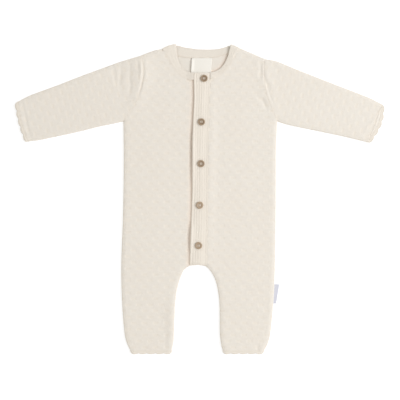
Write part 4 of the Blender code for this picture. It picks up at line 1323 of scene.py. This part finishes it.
def seam_stitches(name, rows):
    places, runs, ups = (np.vstack(part) for part in zip(*rows))
    STITCHES[name] = laid_yarn(name, places, runs, ups, SEAM_SIZE, YARN)


for side in SIDES:
    for place in ("armhole", "hem", "cuff"):
        upper, lower = edges_at(place, side)
        above = seam_row(with_heights(upper, upper_height(upper)))
        below = seam_row(with_heights(lower, lower_height(lower)), -1, BELOW_SINK)
        seam_stitches(f"{place}_stitches_{side}", [above, below])
behind = even(BACK_SEWN, BACK_SECTIONS)[FOLD_SKIP:-FOLD_SKIP]
seam_stitches("buttonhole_band_seam", [seam_row(BAND_TOP[END_SECTIONS:-OPEN_SKIP, -1], 1, BAND_SINK)])
NECK_LINES = (
    NECK_TOP[OPEN_SKIP : FRONT_SECTIONS - FOLD_SKIP, 0],
    NECK_TOP[FOLD_SKIP - FRONT_SECTIONS : -OPEN_SKIP, 0],
    with_heights(behind, NECK_LOW + neck_swell(behind)),
)
seam_stitches("neckband_seam", [seam_row(line, 1, BAND_SINK) for line in NECK_LINES])
print(len(STITCHES), "rows of stitches")

# %% [markdown]
# ## Buttons
# Five turned wooden buttons close the front. A button is a solid of revolution, with a raised rim
# and a dished middle, so its outline is turned round a polar grid; four holes are pressed into the
# grid. The wood is painted darkest in the groove round the middle, a painted shade, palest on the
# rim's crest, a painted highlight, and paler in the middle; no two buttons have the same tone.
# Beech has pores 0.1 mm wide, too fine to show on a 12 mm button, so the grain is drawn coarser.

# %% Wood for the buttons
GRAIN = (0.91 * MM, 7.7 * MM, 2.0 * MM)  # its width, length and depth
GRAIN_RELIEF = 0.08 * MM


def turned_wood():
    """Oiled beech: long fine pores and bands of growth, a soft gloss, and painted shade in the
    groove.
    """
    material, tree = new_material("oiled_beech", {"Roughness": 0.48})
    place = add_node(tree, "ShaderNodeTexCoord").outputs["Object"]
    inputs = {"Vector": place, "Scale": [1 / size for size in GRAIN]}
    stretched = add_node(tree, "ShaderNodeMapping", inputs)
    inputs = {"Vector": stretched, "Scale": 1.0, "Detail": 4.0, "Distortion": 0.4}
    grain = add_node(tree, NOISE, inputs)
    dark, pale = (
        add_node(tree, MIX, {"Factor": grain, "A": linear(one), "B": linear(other)}, data_type="RGBA")
        for one, other in (("#6D5843", "#917A5F"), ("#AA9379", "#C9B39A"))
    )
    tone_and_painted_light = add_node(tree, "ShaderNodeAttribute", attribute_name="tone_and_painted_light").outputs["Fac"]
    colour = add_node(tree, MIX, {"Factor": tone_and_painted_light, "A": dark, "B": pale}, data_type="RGBA")
    return covered(material, colour, grain, GRAIN_RELIEF, strength=0.5)


WOOD = turned_wood()
print("made", WOOD.name)

# %% Making the buttons
# Radius and height of the face's outline in mm, from the middle outwards, and down the side.
BUTTON_FACE = (
    (0, 1.3), (2.4, 1.3), (3.1, 1.4), (3.7, 1.65), (4.3, 1.9), (4.8, 2), (5.3, 1.9),
    (5.65, 1.65),
)
BUTTON_SIDE = ((5.85, 1.3), (5.9, 0.95), (5.7, 0.5), (5.2, 0.2), (4.6, 0.0), (0.0, 0.0))
FINE_RING = 0.18 * MM
BUTTON_SEGMENTS = 72
HOLE_SPREAD, HOLE_RADIUS, HOLE_DEPTH = 1.15 * MM, 0.62 * MM, 1.1 * MM
HOLE_RIM, HOLE_SLOPE = 1.15, 0.3  # where a hole starts and how wide its slope is, in its radii
HOLES_ABOVE = 0.9  # holes are only pressed in above this share of the dish's height
# Radius in mm, and how pale the wood is there: dark in the groove as painted shade, pale on the crest
# as a painted highlight.
PAINTED_LIGHT_BY_RADIUS = ((0.0, 0.8), (1.8, 0.68), (3.0, 0.05), (3.9, 0.1), (4.9, 0.62), (5.9, 0.65))
EVEN_TONE = 0.8
BUTTON_TONES = {1: 0.0, 2: 0.05, 3: 0.1, 4: 0.8, 5: 0.72}  # paler ones, as wood comes
THREAD_SIZE = (2.9 * HOLE_SPREAD, 0.8 * MM, 0.3 * MM)
THREAD_HEIGHT = 1.25 * MM


def seat_of(name):
    """The middle of a button's underside."""
    low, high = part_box(name)
    return np.array([(low.x + high.x) / 2, (low.y + high.y) / 2, low.z])


def make_button(name, tone):
    seat = seat_of(name)
    face = np.array(BUTTON_FACE) * MM
    radii = np.arange(FINE_RING, face[-1, 0], FINE_RING)
    outline = [(r, np.interp(r, face[:, 0], face[:, 1])) for r in radii]
    outline += [(r * MM, z * MM) for r, z in BUTTON_SIDE]
    turn = np.linspace(0, 2 * math.pi, BUTTON_SEGMENTS, endpoint=False)
    spot = np.stack([np.cos(turn), np.sin(turn)], axis=1)
    rings = [np.tile(seat + (0, 0, face[0, 1]), (BUTTON_SEGMENTS, 1))]
    for radius, height in outline:
        flat = radius * spot
        hole = np.linalg.norm(np.abs(flat) - HOLE_SPREAD, axis=1) / HOLE_RADIUS
        pressed = HOLE_DEPTH * np.clip((HOLE_RIM - hole) / HOLE_SLOPE, 0, 1)
        pressed = pressed * (height > face[0, 1] * HOLES_ABOVE)
        rings.append(with_heights(flat + seat[:2], seat[2] + height - pressed))
    piece = lofted(name, rings, WOOD)
    radius = np.linalg.norm(np.vstack(rings)[:, :2] - seat[:2], axis=1)
    # Painted shade in the groove and a painted highlight on the crest, evened out by each button's
    # tone.
    pale = np.interp(radius, *(np.transpose(PAINTED_LIGHT_BY_RADIUS) * [[MM], [1]]))
    store(piece, "tone_and_painted_light", pale * (1 - tone) + tone * EVEN_TONE)
    edited(piece, join_near)
    edited(piece, face_outwards)
    return piece


BUTTONS = {f"button_{i}": make_button(f"button_{i}", tone) for i, tone in BUTTON_TONES.items()}
# Two bars of thread on each button, from hole to hole.
bars = [(hand * HOLE_SPREAD, 0, THREAD_HEIGHT) for hand in (-1, 1)]
places = [seat_of(name) + bar for name in BUTTONS for bar in bars]
runs, ups = [(0, 1, 0)] * len(places), [(0, 0, 1)] * len(places)
STITCHES["button_threads"] = laid_yarn("button_threads", places, runs, ups, THREAD_SIZE, YARN)
print("made", len(BUTTONS), "buttons")

# %% [markdown]
# ## Neck label and side tag
# The label is a woven tape, sewn under the neckband behind and lying on the inside of the back. Its
# left edge stands off a little. The tag is a short folded tape in the left side seam. Both are bare.
# Real threads are about 0.2 mm apart, too fine to show, so they are drawn about 1 mm apart.

# %% Satin tape
WEFT, WARP = 1.208 * MM, 0.952 * MM  # from thread to thread
WEAVE_RELIEF = 0.1 * MM
WAVES_PER_UNIT = 10 / math.pi  # what a Wave Texture draws on each unit at a scale of 1


def satin_tape(name, painted_shade_colour, colour):
    """Woven satin tape: fine crosswise ribs of weft, a soft sheen, and painted shade between the
    threads.
    """
    inputs = {"Roughness": 0.55, "Sheen Weight": 0.12, "Specular IOR Level": 0.4}
    material, tree = new_material(name, inputs)
    place = add_node(tree, "ShaderNodeTexCoord").outputs["Object"]
    ribs, threads = (
        add_node(tree, "ShaderNodeTexWave", {"Vector": place, "Scale": scale}, bands_direction=axis)
        for scale, axis in ((1 / WEFT / WAVES_PER_UNIT, "Y"), (1 / WARP / WAVES_PER_UNIT, "X"))
    )
    factors = {0: ribs.outputs["Fac"], 1: threads.outputs["Fac"]}
    weave = add_node(tree, MATH, factors, operation="MULTIPLY")
    colours = {"A": linear(painted_shade_colour), "B": linear(colour)}
    woven = add_node(tree, MIX, {"Factor": weave, **colours}, data_type="RGBA")
    return covered(material, woven, weave, WEAVE_RELIEF, strength=0.5)


# Each tape's first colour is the painted shade between its threads.
SATIN = satin_tape("woven_satin_tape", "#EBE6DC", "#F6F3EC")
COOL_SATIN = satin_tape("bleached_satin_tape", "#CCCDD6", "#DDDDE8")
print("made", SATIN.name, "and", COOL_SATIN.name)

# %% Making the label and the tag
LABEL_WALL, TAG_WALL = 0.5 * MM, 0.3 * MM
LABEL_ROWS, LABEL_COLUMNS, TAG_ROWS, TAG_COLUMNS, TAG_TURNS = 25, 29, 21, 8, 7
# The label, in mm: its left edge and width at the top and how both change, its top and length.
LABEL_LEFT, LABEL_WIDTH, LEFT_LEAN, WIDTH_GAIN = -13.6, 33.4, 1.9, 0.6
LABEL_TOP, LABEL_LENGTH = 233, 28.5
LABEL_BOW, LABEL_LIFT, LABEL_BILLOW = 0.6, 0.2, 0.5
OFF_HEIGHT, OFF_WIDTH, OFF_LENGTH = 2.0, 0.1, 1.15  # how its left edge stands off
TAG_NEAR = (124, -60)  # a place near the side seam that the tag stands in, in mm
TAG_CURL, TAG_WAVES = 0.25 * MM, 7
TAG_LEAN = 3.8 * MM  # how much shorter the tag's lower end stands out
TAG_GAP = 0.45 * MM  # from the middle of the folded tag to each of its layers
TAG_FLAT = 0.92  # share of its reach that is flat, before it bends back


def tape(name, points, wall, material):
    """A grid of points, rows by columns, as a closed sheet with its wall below it."""
    piece = lofted(name, points, material, closed_rings=False)
    if piece.data.polygons[0].normal.z < 0:
        piece.data.flip_normals()
    return walled(piece, wall)


def make_label():
    """From the seam down to under the top band."""
    shares = (np.linspace(0, 1, count) for count in (LABEL_ROWS, LABEL_COLUMNS))
    down, across = np.meshgrid(*shares, indexing="ij")
    x = (LABEL_LEFT - LEFT_LEAN * down + (LABEL_WIDTH + WIDTH_GAIN * down) * across) * MM
    y = (LABEL_TOP - LABEL_LENGTH * down + LABEL_BOW * np.sin(math.pi * across) * down) * MM
    off = OFF_HEIGHT * np.exp(-((across / OFF_WIDTH) ** 2))
    off = off * np.sin(math.pi * np.clip(down * OFF_LENGTH, 0, 1)) ** 0.5
    billow = LABEL_BILLOW * np.sin(math.pi * across) * np.sin(math.pi * down)
    height = WALL + neck_swell(np.dstack([x, y])) + LABEL_WALL + (LABEL_LIFT + off + billow) * MM
    return tape("neck_label", np.dstack([x, y, height]), LABEL_WALL, SATIN)


def make_tag():
    """A tape folded in two, standing out of the side seam."""
    low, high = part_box("side_tag")
    levels = np.linspace(high.y, low.y, TAG_ROWS)
    start = at_levels(stretch_near("front_left", *TAG_NEAR), levels) - (UNDER_SEAM, 0)
    reach = high.x - start[:, 0].min()
    flat = np.linspace(0, TAG_FLAT, TAG_COLUMNS)
    bend = np.linspace(-math.pi / 2, math.pi / 2, TAG_TURNS)[-2:0:-1]
    middle = (low.z + high.z) / 2
    points = []
    for x, y in start:
        down = (high.y - y) / (high.y - low.y)
        curl = TAG_CURL * math.sin(TAG_WAVES * (1 - down))
        out = reach - TAG_LEAN * down
        upper = [(x + out * t, y, middle + TAG_GAP + curl * t) for t in flat]
        tip, level = x + out * TAG_FLAT, middle + curl * TAG_FLAT
        turn = [(tip + TAG_GAP * math.cos(a), y, level + TAG_GAP * math.sin(a)) for a in bend]
        lower = [(x + out * t, y, middle - TAG_GAP + curl * t) for t in flat[::-1]]
        points.append(upper + turn + lower)
    return tape("side_tag", points, TAG_WALL, COOL_SATIN)


LABELS = {"neck_label": make_label(), "side_tag": make_tag()}
print("made", ", ".join(LABELS))

# %% [markdown]
# ## Floor, camera and light
# The romper lies on a white acrylic sheet, even and with little shine, and is seen from straight
# above. A large soft light stands to its right, so that every crease has a bright and a dark side.

# %% Floor, camera and light
FLOOR_REACH = 2  # metres from the middle to each side
FLOOR_INPUTS = {
    "Roughness": 0.5, "Base Color": linear("#BCBCBC"),
    "Emission Color": linear("#FFFFFF"), "Emission Strength": 0.62,
}
LENS, SENSOR, CAMERA_AT = 100, 36, (0, -0.0019, 1.84)  # mm, mm and metres
WORLD_INPUTS = {"Color": (1.0, 0.985, 0.96, 1), "Strength": 0.7}
KEY_AT, KEY_SIZE, KEY_POWER, KEY_COLOUR = (2.3, 0.16, 2.3), 1.5, 56, (0.97, 1.0, 1.05)

corners = [(x * FLOOR_REACH, y * FLOOR_REACH, 0) for x, y in ((-1, -1), (1, -1), (1, 1), (-1, 1))]
white, _ = new_material("white_acrylic_sheet", FLOOR_INPUTS)
floor = new_piece("floor", corners, [(0, 1, 2, 3)], white)
floor.data.shade_flat()

scene = bpy.context.scene
scene.view_settings.view_transform = "Standard"
camera = add_object("camera", bpy.data.cameras.new("camera"))
camera.data.lens, camera.data.sensor_width = LENS, SENSOR
camera.location = CAMERA_AT
scene.camera = camera

scene.world = bpy.data.worlds.new("studio")
scene.world.use_nodes = True
fill(scene.world.node_tree.nodes["Background"], WORLD_INPUTS)
key = add_object("key", bpy.data.lights.new("key", "AREA"))
key.data.shape = "RECTANGLE"
key.data.size = key.data.size_y = KEY_SIZE
key.data.energy, key.data.color = KEY_POWER, KEY_COLOUR
key.location = KEY_AT
key.rotation_euler = (-key.location).to_track_quat("-Z", "Y").to_euler()
print("camera at", CAMERA_AT, "and light at", KEY_AT)

# %% [markdown]
# ## Bodies and nodes
# The romper has no joints, so every piece rides on its one body. A finished piece takes the place of
# the solid that it was read from, which hides that solid.
# The stitches are pieces of their own: they replace nothing.

# %% Bodies and nodes
for pieces, slot in (
    (PANELS, "knit"), (EDGINGS, "knit_edging"), (BANDS, "knit_rib"), (BUTTONS, "button"),
    (LABELS, "label"),
):
    for name, piece in pieces.items():
        piece.name = f"{name}_finished"
        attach(piece, "root")
        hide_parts(name)
for name, piece in STITCHES.items():
    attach(piece, "root")
print("dressed", sum(map(len, (PANELS, EDGINGS, BANDS, BUTTONS, LABELS))), "nodes")
